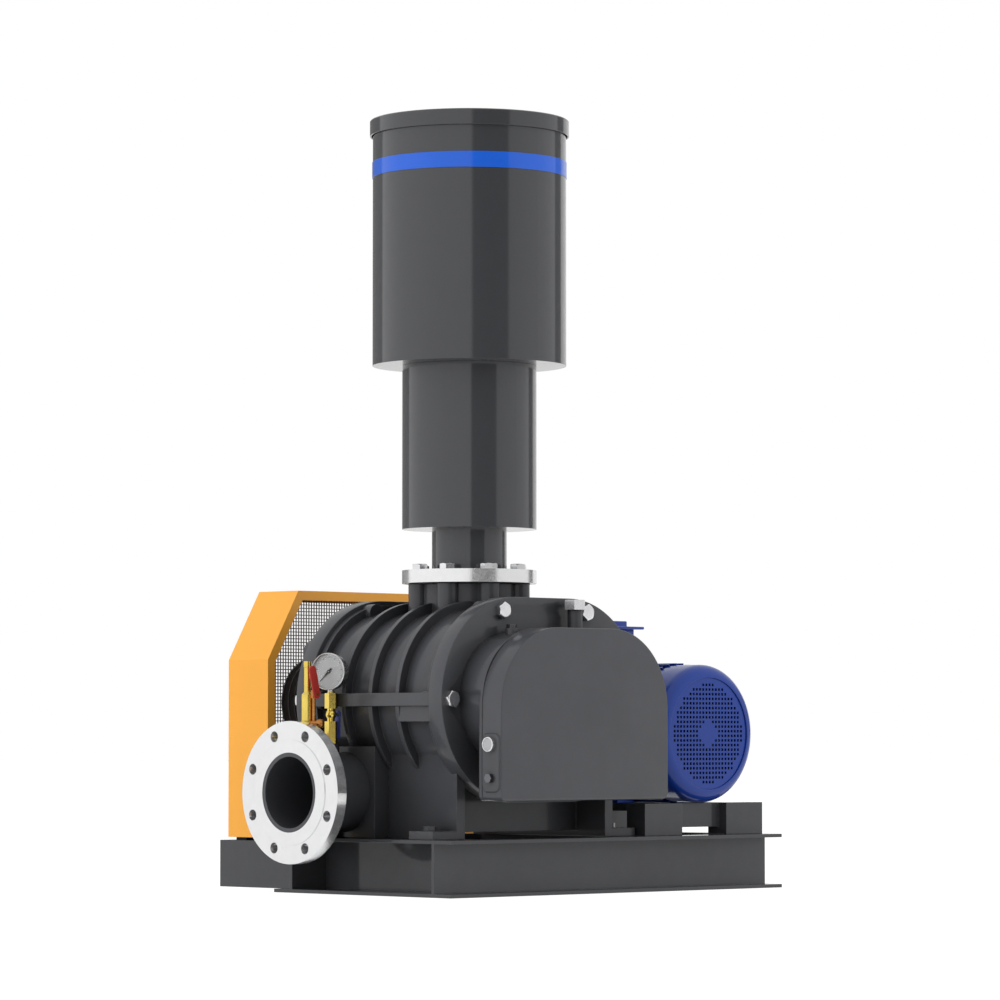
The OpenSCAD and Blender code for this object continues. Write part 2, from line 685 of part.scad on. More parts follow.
module timing_gear() facing_x(gear_x, 0, 0) difference() {
    union() {
        linear_extrude(gear_w) polygon(gear_points(gear_teeth, gear_module));
        rod(92, gear_w + 6);
    }
    translate([0, 0, -cut]) rod(shaft_d + 2 * snug, gear_w + 6 + 2 * cut);
    for (side = [-cut, gear_w - 8]) translate([0, 0, side]) tube(2 * half_gap - 32, 92, 8 + cut);
}
module drive_gear() color([0.7, 0.68, 0.6]) translate([0, drive_y, shaft_z]) timing_gear();
module driven_gear() color([0.7, 0.68, 0.6]) translate([0, driven_y, shaft_z])
    rotate([180 / gear_teeth, 0, 0]) timing_gear();

module sight_glass() color([0.85, 0.85, 0.85]) facing_front(glass_x, pad_y, shaft_z - sight_drop) {
    tube(sight_d, sight_d - 12, 9);
    rod(sight_d - 12 - 2 * snug, 6);
}
module oil_plugs() color([0.7, 0.7, 0.7]) {
    facing_front(glass_x, pad_y, shaft_z - plug_drop) hexagon(17, 8);
    translate([filler_x, driven_y - 20, plug_seat]) hexagon(19, 8);
}
module filler_cap() color([0.8, 0.8, 0.82]) translate([filler_x, drive_y - 41, filler_top - 20]) {
    rotate(12) hexagon(40, 20);
    translate([0, 0, -16]) rod(filler_d - 9.2, 17);
}

module hold_down_bolts() color([0.6, 0.6, 0.62]) {
    for (s = [-1, 1], x = foot_bolt_x) translate([x, blower_y + s * (foot_tip - 32), base_h + foot_t])
        bolt(16, 24, 10, foot_t);
    for (s = [-1, 1], e = [-1, 1])
        translate([e * foot_pitch / 2, motor_y + s * foot_gauge / 2, mount_top + 16])
            bolt(12, 19, 8, 16);
}

module inlet_gasket() color([0.15, 0.15, 0.15]) translate([0, blower_y, neck_top]) difference() {
    rod(neck_d + 30, gasket_t);
    translate([0, 0, -cut]) rod(inlet_bore_d + 6, gasket_t + 2 * cut);
    for (i = [0 : 7]) rotate(45 * i + 22.5) translate([inlet_pcd / 2, 0, -cut])
        rod(bolt_shank + 1, gasket_t + 2 * cut);
}
module inlet_flange() color([0.9, 0.9, 0.9]) translate([0, blower_y, flange_low]) difference() {
    rod(inlet_flange_d, inlet_flange_t);
    translate([0, 0, -cut]) rod(riser_d + 2 * snug, inlet_flange_t + 2 * cut);
    for (i = [0 : 7]) rotate(45 * i + 22.5) translate([inlet_pcd / 2, 0, -cut])
        rod(bolt_shank + 2, inlet_flange_t + 2 * cut);
}
module flange_bolts() color([0.85, 0.85, 0.86]) for (i = [0 : 7]) rotate_about(45 * i + 22.5)
    translate([inlet_pcd / 2, 0, flange_top]) bolt(bolt_shank, bolt_af, bolt_head - 1,
        inlet_flange_t + gasket_t + 30);

module silencer_pipe() color([0.32, 0.33, 0.35]) translate([0, blower_y, flange_low])
    tube(riser_d, riser_d - 2 * riser_wall, lower_shell_z + 60 - flange_low);

// A round can with a closed floor that has a hole
module can(d, z0, z1, floor_hole) translate([0, blower_y, 0]) rotate_extrude() polygon([
    [floor_hole / 2, z0], [d / 2, z0], [d / 2, z1], [d / 2 - shell_t, z1],
    [d / 2 - shell_t, z0 + shell_t], [floor_hole / 2, z0 + shell_t]]);
module silencer_lower_shell() color([0.32, 0.33, 0.35])
    can(lower_shell_d, lower_shell_z, upper_shell_z, riser_d + 2 * snug);
module silencer_upper_shell() color([0.32, 0.33, 0.35])
    can(upper_shell_d, upper_shell_z, lid_top - shell_t, lower_shell_d - 60);
module silencer_band() color([0.2, 0.38, 0.85]) translate([0, blower_y, band_z])
    tube(upper_shell_d + 2.4, upper_shell_d + 2 * snug, band_h);
module silencer_lid() color([0.32, 0.33, 0.35]) translate([0, blower_y, 0]) rotate_extrude() polygon([
    [0, lid_top - shell_t], [upper_shell_d / 2 + lid_over - shell_t, lid_top - shell_t],
    [upper_shell_d / 2 + lid_over - shell_t, lid_top - lid_h],
    [upper_shell_d / 2 + lid_over, lid_top - lid_h], [upper_shell_d / 2 + lid_over, lid_top - 2],
    [upper_shell_d / 2 + lid_over - 2, lid_top], [0, lid_top]]);
module lid_wing_nuts() color([0.8, 0.8, 0.8]) for (s = [-1, 1])
    translate([s * 22, blower_y + s * 22, lid_top]) {
        rod(18, 12);
        hexagon(14, 30);
    }
module perforated_tube() color([0.6, 0.6, 0.62]) translate([0, blower_y, lower_shell_z + 60]) difference() {
    tube(riser_d, riser_d - 6, upper_shell_z + 120 - lower_shell_z - 60);
    for (z = [40 : 60 : upper_shell_z - lower_shell_z - 60], a = [0 : 45 : 135])
        translate([0, 0, z]) rotate([90, 0, a]) cylinder(d = 24, h = riser_d + 4, center = true);
}
module filter_element() color([0.85, 0.83, 0.75]) translate([0, blower_y, upper_shell_z + 100])
    tube(upper_shell_d - 90, riser_d + 0.6, lid_top - shell_t - 0.3 - upper_shell_z - 100);

module discharge_adapter() color([0.3, 0.31, 0.33]) difference() {
    block([-outlet_x - adapter_w / 2, adapter_y, base_h + 0.5],
        [-outlet_x + adapter_w / 2, wall_y, 2 * outlet_z - base_h - 0.5]);
    facing_front(-outlet_x, wall_y + cut, outlet_z) rod(port_d, adapter_t + 2 * cut);
    facing_front(-outlet_x, adapter_y + 12, outlet_z) rod(outlet_pipe_d + 2 * snug, 12 + cut);
    // Its back follows the ribs and the end plate, and its foot clears the casing's
    oval_slab(-casing_half, casing_half, oval_half, rib_r + 0.3);
    oval_slab(-plate_out, -casing_half + 0.3, oval_half, plate_r + 0.3);
    block([-plate_out, adapter_y - cut, base_h],
        [foot_len - leg_len / 2 + 0.3, wall_y + cut, base_h + foot_t + 0.3]);
    block([-plate_out, adapter_y - cut, base_h],
        [foot_bolt_x[0] + 15, wall_y + cut, base_h + foot_t + 11.5]);
}
module discharge_pipe() color([0.3, 0.31, 0.33]) difference() {
    union() {
        facing_front(-outlet_x, adapter_y + 12, outlet_z) rod(outlet_pipe_d, adapter_y + 12 - outlet_y - 1);
        // Welded bosses for the relief valve and the gauge
        for (y = [relief_y, gauge_y]) translate([-outlet_x, y, pipe_top - 8]) rod(34, 24);
    }
    facing_front(-outlet_x, adapter_y + 12 + cut, outlet_z)
        rod(outlet_bore_d, adapter_y + 12 - outlet_y + 2 * cut);
    for (y = [relief_y, gauge_y]) translate([-outlet_x, y, outlet_z]) rod(12, pipe_top + 20 - outlet_z);
}
module discharge_flange() color([0.9, 0.9, 0.9]) facing_front(-outlet_x, outlet_y + outlet_flange_t, outlet_z)
    difference() {
        union() {
            rod(outlet_flange_d, outlet_flange_t - 2);
            rod(outlet_face_d, outlet_flange_t);
        }
        translate([0, 0, -cut]) rod(outlet_pipe_d + 2 * snug, outlet_flange_t + 2 * cut);
        for (i = [0 : outlet_holes - 1]) rotate(360 / outlet_holes * (i + 0.5))
            translate([outlet_pcd / 2, 0, -cut]) rod(outlet_hole_d, outlet_flange_t + 2 * cut);
    }

boss_top = pipe_top + 16;
// Tee, lower body and bonnet of the relief valve, hollow for its spindle
module relief_valve() color([0.85, 0.72, 0.3]) translate([-outlet_x, relief_y, 0]) difference() {
    union() {
        translate([0, 0, boss_top]) hexagon(24, 14);
        translate([0, 0, boss_top + 14]) rod(18, branch_z - boss_top);
        rotate([0, 90, 0]) translate([-branch_z, 0, 0]) rod(15, 12);
        translate([0, 0, branch_z + 6]) rod(25, 52);
        translate([0, 0, branch_z + 58]) cylinder(d1 = 25, d2 = 15, h = 5);
        translate([0, 0, branch_z + 58]) rod(15, relief_top - 12 - branch_z - 58);
    }
    translate([0, 0, relief_top - 60]) rod(7, 60);
}
module relief_spindle() color([0.8, 0.66, 0.28]) translate([-outlet_x, relief_y, 0]) {
    translate([0, 0, relief_top - 50]) rod(6.4, 40);
    translate([0, 0, relief_top - 12 + 0.3]) rod(17, 11.7);
}
// Branch with a plugged end, riser and the small vent cock that the red lever turns
module vent_valve() color([0.82, 0.6, 0.3]) {
    translate([-outlet_x + 12, relief_y, branch_z]) rotate([0, 90, 0]) rod(13, 20);
    translate([-outlet_x + 37, relief_y, branch_z]) sphere(d = 19);
    translate([vent_x, relief_y, branch_z]) rod(7, vent_z - branch_z);
    translate([vent_x, relief_y, vent_z - 8]) hexagon(11, 16);
    translate([vent_x, relief_y, vent_z]) rotate([0, 90, 0]) rod(6, 11);
}
// Flat lever with an eye, along +Z from its pivot, turning about X
module flat_lever(len, w, eye, hole) rotate([90, 0, 90]) linear_extrude(lever_t) difference() {
    union() {
        circle(d = eye);
        translate([-w / 2, 0]) square([w, len - w / 2]);
        translate([0, len - w / 2]) circle(d = w);
    }
    circle(d = hole);
}
module vent_lever() color([0.75, 0.2, 0.18]) translate([vent_x + 7, relief_y, vent_z])
    rotate([14, 0, 0]) flat_lever(vent_lever_len, 18, 18, 6 + 2 * pivot_fit);

module gauge_cock() color([0.85, 0.72, 0.3]) translate([-outlet_x, gauge_y, 0]) {
    translate([0, 0, boss_top]) rod(16, gauge_z - gauge_d / 2 - gauge_neck - boss_top);
    translate([0, 0, boss_top + 2]) hexagon(23, cock_z - 16 - boss_top);
    translate([0, 0, cock_z]) sphere(d = 22);
    translate([0, 0, cock_z + 12]) hexagon(23, gauge_z - gauge_d / 2 - gauge_neck - cock_z - 14);
    translate([0, 0, cock_z]) rotate([-90, 0, 0]) rod(7, 24);
}
module cock_lever() color([0.2, 0.25, 0.65]) translate([-outlet_x, gauge_y + 20, cock_z])
    rotate([0, 180, 90]) flat_lever(cock_lever_len, 13, 16, 7 + 2 * pivot_fit);

// The gauge is turned towards the gear end, its case in front of its stem
module gauge_frame() translate([-outlet_x, gauge_y, gauge_z]) rotate([0, 0, gauge_turn]) rotate([90, 0, 0])
    translate([0, 0, gauge_depth / 2 - stem_back]) children();
module gauge_case() color([0.85, 0.85, 0.85]) gauge_frame() difference() {
    union() {
        translate([0, 0, -gauge_depth / 2]) rod(gauge_d, gauge_depth);
        translate([0, -gauge_d / 2 - gauge_neck, stem_back - gauge_depth / 2]) rotate([-90, 0, 0])
            rod(14, gauge_neck + 6);
    }
    translate([0, 0, gauge_depth / 2 - 8]) rod(gauge_d - 2 * gauge_rim, gauge_depth);
}
module gauge_dial() color([0.9, 0.9, 0.88]) gauge_frame() translate([0, 0, gauge_depth / 2 - 8]) {
    rod(gauge_d - 2 * gauge_rim - 2 * snug, 1.2);
    rod(2.6, 4.8);
}
module gauge_lens() color([0.8, 0.9, 1, 0.4]) gauge_frame()
    translate([0, 0, gauge_depth / 2 - 2.6]) rod(gauge_d - 2 * gauge_rim - 2 * snug, 2);
module gauge_needle() color([0.1, 0.1, 0.1]) gauge_frame() translate([0, 0, gauge_depth / 2 - 5.2])
    rotate(225) linear_extrude(1) difference() {
        union() {
            circle(d = 7);
            polygon([[-8, -2], [needle_r, -0.6], [needle_r, 0.6], [-8, 2]]);
        }
        circle(d = 2.7);
    }

guard_outline = let (front = blower_y - guard_front, rear = motor_y + guard_rear,
        low = guard_top - guard_drop)
    [[front, guard_low], [rear, guard_low], [rear, low], [rear - guard_run, guard_top],
    [front + guard_run, guard_top], [front, low]];
module guard_slab(x0, x1, less) facing_x(x0, 0, 0) linear_extrude(x1 - x0)
    polygon(inset(guard_outline, less));

// Sheet band around the belts, with a border folded in on both sides
module guard_band() color([1, 0.72, 0.3]) difference() {
    guard_slab(-guard_out, -guard_in, 0);
    guard_slab(-guard_out + guard_sheet, -guard_in - guard_sheet, guard_sheet);
    guard_slab(-guard_out - cut, -guard_in + cut, guard_border);
}
module guard_mesh() color([0.75, 0.75, 0.75]) {
    lo = [blower_y - guard_front + guard_border - 4, guard_low + guard_border - 4];
    hi = [motor_y + guard_rear - guard_border + 4, guard_top - guard_border + 4];
    cells = [floor((hi[0] - lo[0]) / mesh_pitch), floor((hi[1] - lo[1]) / mesh_pitch)];
    pitch = [(hi[0] - lo[0]) / cells[0], (hi[1] - lo[1]) / cells[1]];
    limit = inset(guard_outline, guard_border - 5);
    facing_x(-guard_out + guard_sheet, 0, 0) linear_extrude(mesh_wire) difference() {
        polygon(inset(guard_outline, guard_sheet + 0.2));
        for (i = [0 : cells[0] - 1], j = [0 : cells[1] - 1])
            let (p = lo + [i * pitch[0], j * pitch[1]] + [mesh_wire, mesh_wire] / 2,
                    q = p + pitch - [mesh_wire, mesh_wire])
                if (within(limit, [p[0], q[1]]) && within(limit, q))
                    translate(p) square(q - p);
    }
}

// Cross section of one belt, its wide side outwards, r counted from the pulley's pitch radius
function belt_section(r) = [[r - belt_deep / 2, -belt_bottom / 2], [r + belt_deep / 2, -belt_top / 2],
    [r + belt_deep / 2, belt_top / 2], [r - belt_deep / 2, belt_bottom / 2]];
span_dy = motor_y - drive_y;
span_dz = motor_z - shaft_z;
span = norm([span_dy, span_dz]);
span_tilt = atan2(span_dz, span_dy);
wrap_lean = asin((blower_pulley_d - motor_pulley_d) / 2 / span);
belt_x = [for (i = [0 : belts - 1]) pulley_x + (i - (belts - 1) / 2) * belt_pitch];

// Sections round the loop, as centre, radius and angle, in steps along both arcs
belt_steps = 36;
belt_path = [for (k = [0 : belt_steps]) [0, blower_pulley_d / 2,
        90 - wrap_lean + (180 + 2 * wrap_lean) * k / belt_steps],
    for (k = [0 : belt_steps]) [span, motor_pulley_d / 2,
        wrap_lean - 90 + (180 - 2 * wrap_lean) * k / belt_steps]];
module belt() facing_x(0, drive_y, shaft_z) rotate(span_tilt) {
    n = len(belt_path);
    polyhedron(points = [for (p = belt_path, c = belt_section(p[1]))
            [p[0] + c[0] * cos(p[2]), c[0] * sin(p[2]), c[1]]],
        faces = [for (i = [0 : n - 1], j = [0 : 3]) [4 * i + j, 4 * i + (j + 1) % 4,
            4 * ((i + 1) % n) + (j + 1) % 4, 4 * ((i + 1) % n) + j]]);
}
module v_belts() color([0.1, 0.1, 0.1]) for (x = belt_x) translate([x, 0, 0]) belt();

module grooved_pulley(d, bore) {
    rim = d / 2 + belt_deep / 2 + 1;
    root = d / 2 - belt_deep / 2 - 2;
    half = pulley_w / 2;
    // The groove flanks follow the belt's flanks with a gap
    lean = (belt_top - belt_bottom) / 2 / belt_deep;
    w_rim = belt_top / 2 + belt_gap + lean * 1;
    w_root = belt_bottom / 2 + belt_gap - lean * 2;
    grooves = [for (x = belt_x) let (c = x - pulley_x) each
        [[rim, c - w_rim], [root, c - w_root], [root, c + w_root], [rim, c + w_rim]]];
    facing_x(pulley_x, 0, 0) rotate_extrude() polygon(concat([[bore / 2, -half], [root - 14, -half],
        [rim, -half]], grooves, [[rim, half], [bore / 2, half]]));
}
module blower_pulley() color([0.25, 0.25, 0.26]) translate([0, drive_y, shaft_z])
    grooved_pulley(blower_pulley_d, shaft_d + 2 * snug);
module motor_pulley() color([0.25, 0.25, 0.26]) translate([0, motor_y, motor_z])
    grooved_pulley(motor_pulley_d, motor_shaft_d + 2 * snug);

module motor_frame() color([0.18, 0.25, 0.6]) translate([0, motor_y, motor_z]) {
    drop = motor_z - mount_top;
    facing_x(-frame_half, 0, 0) linear_extrude(frame_len) difference() {
        union() {
            circle(frame_shell_r);
            for (i = [0 : fins - 1]) rotate(360 * (i + 0.5) / fins) translate([frame_shell_r - 3, -1.5])
                square([fin_r - frame_shell_r + 3, 3]);
        }
        circle(bore_r);
    }
    for (s = [-1, 1]) {
        foot = foot_gauge / 2;
        difference() {
            union() {
                block([-foot_half, s * foot - 24, -drop], [foot_half, s * foot + 24, -drop + 16]);
                for (x = [-foot_half + 5, foot_half - 55]) difference() {
                    block([x, s * foot - (s > 0 ? 70 : 14), -drop + 15],
                        [x + 50, s * foot + (s > 0 ? 14 : 70), -60]);
                    facing_x(-frame_len, 0, 0) rod(2 * frame_shell_r - 4, 2 * frame_len);
                }
            }
            for (e = [-1, 1]) translate([e * foot_pitch / 2, s * foot, -drop]) {
                translate([0, 0, -cut]) rod(13, 16 + 2 * cut);
                translate([0, 0, 16]) rod(26, 26);
            }
        }
    }
}

// Bearing shields at both ends of the motor frame
module end_shields() color([0.18, 0.25, 0.6]) for (s = [-1, 1]) {
    x0 = s > 0 ? frame_half : -frame_half - motor_bearing_w - 4;
    facing_x(0, motor_y, motor_z) difference() {
        union() {
            translate([0, 0, s > 0 ? frame_half : -frame_half - shield_t])
                rod(2 * (s > 0 ? frame_shell_r + 6 : fin_r), shield_t);
            translate([0, 0, x0]) rod(motor_bearing_d + 40, motor_bearing_w + 4);
        }
        translate([0, 0, s > 0 ? frame_half - cut : -frame_half - motor_bearing_w])
            rod(motor_bearing_d + 2 * snug, motor_bearing_w + cut);
        translate([0, 0, x0 - cut]) rod(motor_shaft_d + 8, motor_bearing_w + 6);
    }
}

module fan_cowl() color([0.18, 0.25, 0.6]) facing_x(0, motor_y, motor_z) {
    start = frame_half + 1;
    rotate_extrude() polygon([[cowl_r - cowl_t, start], [cowl_r, start],
        [cowl_r, cowl_face - cowl_shoulder],
        [cowl_r - (cowl_r - grille_r) * 0.3, cowl_face - cowl_shoulder * 0.35],
        [grille_r, cowl_face], [grille_r - 8, cowl_face], [grille_r - 8, cowl_face - cowl_t],
        [grille_r - cowl_t, cowl_face - cowl_t - 1],
        [cowl_r - (cowl_r - grille_r) * 0.3 - cowl_t, cowl_face - cowl_shoulder * 0.35 - cowl_t],
        [cowl_r - cowl_t, cowl_face - cowl_shoulder - 1]]);
    // Flat grille with square holes around a closed hub
    n = floor((grille_r - 8) / grille_pitch);
    translate([0, 0, cowl_face - cowl_t]) linear_extrude(cowl_t) difference() {
        circle(grille_r - 7);
        for (i = [-n : n], j = [-n : n])
            if (norm([i, j]) * grille_pitch + grille_hole * 0.75 < grille_r - 8
                    && norm([i, j]) * grille_pitch > 28)
                translate([i * grille_pitch, j * grille_pitch]) square(grille_hole, center = true);
    }
    // Mounting lugs onto the rear shield
    for (a = [45 : 90 : 315]) rotate(a) translate([frame_shell_r + 6 + snug, -9, frame_half + 2])
        cube([cowl_r - cowl_t - frame_shell_r - 5.5, 18, 12]);
}

module cooling_fan() color([0.15, 0.15, 0.16]) facing_x(frame_half + motor_bearing_w + 6, motor_y, motor_z)
    difference() {
        union() {
            rod(fan_hub_d, fan_w);
            rod(fan_d, 3);
            for (i = [0 : 6]) rotate(360 / 7 * i) translate([fan_hub_d / 2 - 5, -1.5, 0])
                cube([fan_d / 2 - fan_hub_d / 2 + 5, 3, fan_w - 2]);
        }
        translate([0, 0, -cut]) rod(motor_shaft_d + 2 * snug, fan_w + 2 * cut);
    }

module motor_shaft() color([0.65, 0.66, 0.68]) {
    tail = -pulley_x + pulley_w / 2 + 1;
    facing_x(-tail, motor_y, motor_z) rod(motor_shaft_d, tail + frame_half + motor_bearing_w + fan_w + 6);
    facing_x(-stator_half, motor_y, motor_z) rod(2 * (bore_r - stator_wall - air_gap), 2 * stator_half);
}
module stator() color([0.6, 0.45, 0.3]) facing_x(-stator_half, motor_y, motor_z)
    tube(2 * (bore_r - snug), 2 * (bore_r - stator_wall), 2 * stator_half);

module terminal_box() color([0.18, 0.25, 0.6]) translate([tbox_x, motor_y, 0]) difference() {
    half = tbox_w / 2;
    union() {
        block([-half, -half, motor_z + fin_r + 6], [half, half, tbox_top - 18]);
        block([-half + 20, -half + 20, motor_z + frame_shell_r - 4],
            [half - 20, half - 20, motor_z + fin_r + 8]);
    }
    facing_x(-tbox_w, 0, motor_z) rod(2 * fin_r + 0.4, 2 * tbox_w);
    block([-half + 6, -half + 6, motor_z + fin_r + 12], [half - 6, half - 6, tbox_top]);
    translate([0, half - 7, tbox_top - 52]) rotate([-90, 0, 0]) rod(24, 8 + cut);
}
module terminal_lid() color([0.18, 0.25, 0.6]) translate([tbox_x, motor_y, 0]) {
    half = tbox_w / 2 + tbox_over;
    block([-half, -half, tbox_top - 18], [half, half, tbox_top - 12]);
    block([-half + 26, -half + 26, tbox_top - 12], [half - 26, half - 26, tbox_top]);
}
module cable_gland() color([0.2, 0.2, 0.2]) translate([tbox_x, motor_y + tbox_w / 2, tbox_top - 52])
    rotate([-90, 0, 0]) difference() {
        union() {
            hexagon(32, 9);
            rod(26, 22);
            translate([0, 0, -6]) rod(23.9, 7);
        }
        translate([0, 0, -7]) rod(16, 30);
    }

side_channels();
front_cross_member();
cross_members();
guard_support();
guard_pads();
motor_mount();
casing();
end_plates();
casing_bolts();
gear_housing();
gear_cover();
drive_oil_cover();
ball_bearings();
shaft_seal();
drive_rotor();
driven_rotor();
drive_gear();
driven_gear();
sight_glass();
oil_plugs();
filler_cap();
hold_down_bolts();
inlet_gasket();
inlet_flange();
flange_bolts();
silencer_pipe();
silencer_lower_shell();
silencer_upper_shell();
silencer_band();
silencer_lid();
lid_wing_nuts();
perforated_tube();
filter_element();
discharge_adapter();
discharge_pipe();
discharge_flange();
relief_valve();
relief_spindle();
vent_valve();
vent_lever();
gauge_cock();
cock_lever();
gauge_case();
gauge_dial();
gauge_lens();
gauge_needle();
guard_band();
guard_mesh();
v_belts();
blower_pulley();
motor_pulley();
motor_frame();
end_shields();
fan_cowl();
cooling_fan();
motor_shaft();
stator();
terminal_box();
terminal_lid();
cable_gland();
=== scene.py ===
"""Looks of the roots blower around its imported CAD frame.

Metres, in the row frame: +X to the gear end, -Y to the discharge flange, +Z up.
"""
import json
import math

import bmesh
import bpy
from mathutils import Matrix, Vector


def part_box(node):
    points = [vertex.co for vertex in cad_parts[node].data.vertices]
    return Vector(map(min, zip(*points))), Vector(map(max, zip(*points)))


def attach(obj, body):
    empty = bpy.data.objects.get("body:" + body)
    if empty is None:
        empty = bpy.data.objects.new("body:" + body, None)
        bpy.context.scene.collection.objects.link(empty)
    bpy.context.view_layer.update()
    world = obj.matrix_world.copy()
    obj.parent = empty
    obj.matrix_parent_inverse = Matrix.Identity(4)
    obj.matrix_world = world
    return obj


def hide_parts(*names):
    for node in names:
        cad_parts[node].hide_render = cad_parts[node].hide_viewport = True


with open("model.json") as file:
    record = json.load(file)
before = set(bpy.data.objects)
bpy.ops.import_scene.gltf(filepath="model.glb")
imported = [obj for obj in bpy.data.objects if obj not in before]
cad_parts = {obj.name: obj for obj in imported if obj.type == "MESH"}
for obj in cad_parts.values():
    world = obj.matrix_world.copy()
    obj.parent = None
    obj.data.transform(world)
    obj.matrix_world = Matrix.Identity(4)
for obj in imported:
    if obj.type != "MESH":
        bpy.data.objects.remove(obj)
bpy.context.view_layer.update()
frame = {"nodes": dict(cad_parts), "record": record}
MM = 0.001

# Camera solved from the photograph's straight edges
CAMERA_PLACE = (6.6377, -6.5774, 0.3106)
CAMERA_AZIMUTH = 45.667
CAMERA_PITCH = 3.031
CAMERA_LENS = 162.48
SENSOR_WIDTH = 36.0

record = frame["record"]
body_of_node = {n: b for b, nodes in record["behaviour"]["bodies"].items() for n in nodes}
slot_of_node = {row["node"]: row["material_slot"] for row in record["subparts"]}


def srgb(r, g, b):
    """Linear colour from 8-bit screen values."""
    def channel(v):
        v /= 255
        return v / 12.92 if v <= 0.04045 else ((v + 0.055) / 1.055) ** 2.4
    return channel(r), channel(g), channel(b), 1.0


def grey(level):
    """Linear grey."""
    return level, level, level, 1.0


def add_node(tree, kind, *inputs, operation=None):
    """A node whose first sockets take these values or links; None leaves a socket as it is."""
    node = tree.nodes.new(kind)
    if operation:
        node.operation = operation
    for socket, value in zip(node.inputs, inputs):
        if isinstance(value, (int, float, tuple)):
            socket.default_value = value
        elif value is not None:
            tree.links.new(value, socket)
    return node


# Materials

NOISE_ROUGHNESS = 0.55
BEVEL_SAMPLES = 6


class Nodes:
    """A material's node tree with short calls for what the finishes below share."""

    def __init__(self, name):
        self.material = bpy.data.materials.new(name)
        self.material.use_nodes = True
        self.tree = self.material.node_tree
        self.tree.nodes.clear()
        self.shader = self.tree.nodes.new("ShaderNodeBsdfPrincipled")
        out = self.tree.nodes.new("ShaderNodeOutputMaterial")
        self.link(self.shader.outputs[0], out.inputs[0])
        self.place = self.tree.nodes.new("ShaderNodeTexCoord").outputs["Object"]

    def link(self, a, b):
        self.tree.links.new(a, b)

    def noise(self, scale, detail=3.0, stretch=None):
        node = self.tree.nodes.new("ShaderNodeTexNoise")
        node.inputs["Scale"].default_value = scale
        node.inputs["Detail"].default_value = detail
        node.inputs["Roughness"].default_value = NOISE_ROUGHNESS
        place = self.place
        if stretch:
            mapping = self.tree.nodes.new("ShaderNodeMapping")
            mapping.inputs["Scale"].default_value = stretch
            self.link(self.place, mapping.inputs["Vector"])
            place = mapping.outputs[0]
        self.link(place, node.inputs["Vector"])
        return node.outputs["Fac"]

    def remap(self, value, low, high, start=0.3, stop=0.7):
        """Takes start to low and stop to high; the defaults are the range that noise mostly fills."""
        return add_node(self.tree, "ShaderNodeMapRange", value, start, stop, low, high).outputs[0]

    def mix(self, factor, a, b):
        """Colour a where factor is 0 and b where it is 1."""
        node = self.tree.nodes.new("ShaderNodeMix")
        node.data_type = "RGBA"
        self.link(factor, node.inputs["Factor"])
        for socket, value in zip((node.inputs[6], node.inputs[7]), (a, b)):
            if isinstance(value, tuple):
                socket.default_value = value
            else:
                self.link(value, socket)
        return node.outputs[2]

    def bump(self, height, strength, distance, normal=None):
        node = self.tree.nodes.new("ShaderNodeBump")
        node.inputs["Strength"].default_value = strength
        node.inputs["Distance"].default_value = distance
        self.link(height, node.inputs["Height"])
        if normal:
            self.link(normal, node.inputs["Normal"])
        return node.outputs[0]

    def round_edges(self, radius):
        node = self.tree.nodes.new("ShaderNodeBevel")
        node.samples = BEVEL_SAMPLES
        node.inputs["Radius"].default_value = radius
        return node.outputs[0]

    def edge_mask(self, radius):
        """1 along edges, which worn paint and a painted highlight lighten, from how the rounded normal leans away."""
        rounded = self.round_edges(radius)
        flat = self.tree.nodes.new("ShaderNodeNewGeometry").outputs["Normal"]
        dot = add_node(self.tree, "ShaderNodeVectorMath", rounded, flat, operation="DOT_PRODUCT")
        return self.remap(dot.outputs["Value"], 1.0, 0.0, 0.86, 0.985)

    def set(self, **values):
        for name, value in values.items():
            socket = self.shader.inputs[name.replace("_", " ")]
            if isinstance(value, (int, float, tuple)):
                socket.default_value = value
            else:
                self.link(value, socket)


def scaled(colour, factor):
    return tuple(min(1.0, c * factor) for c in colour[:3]) + (1.0,)


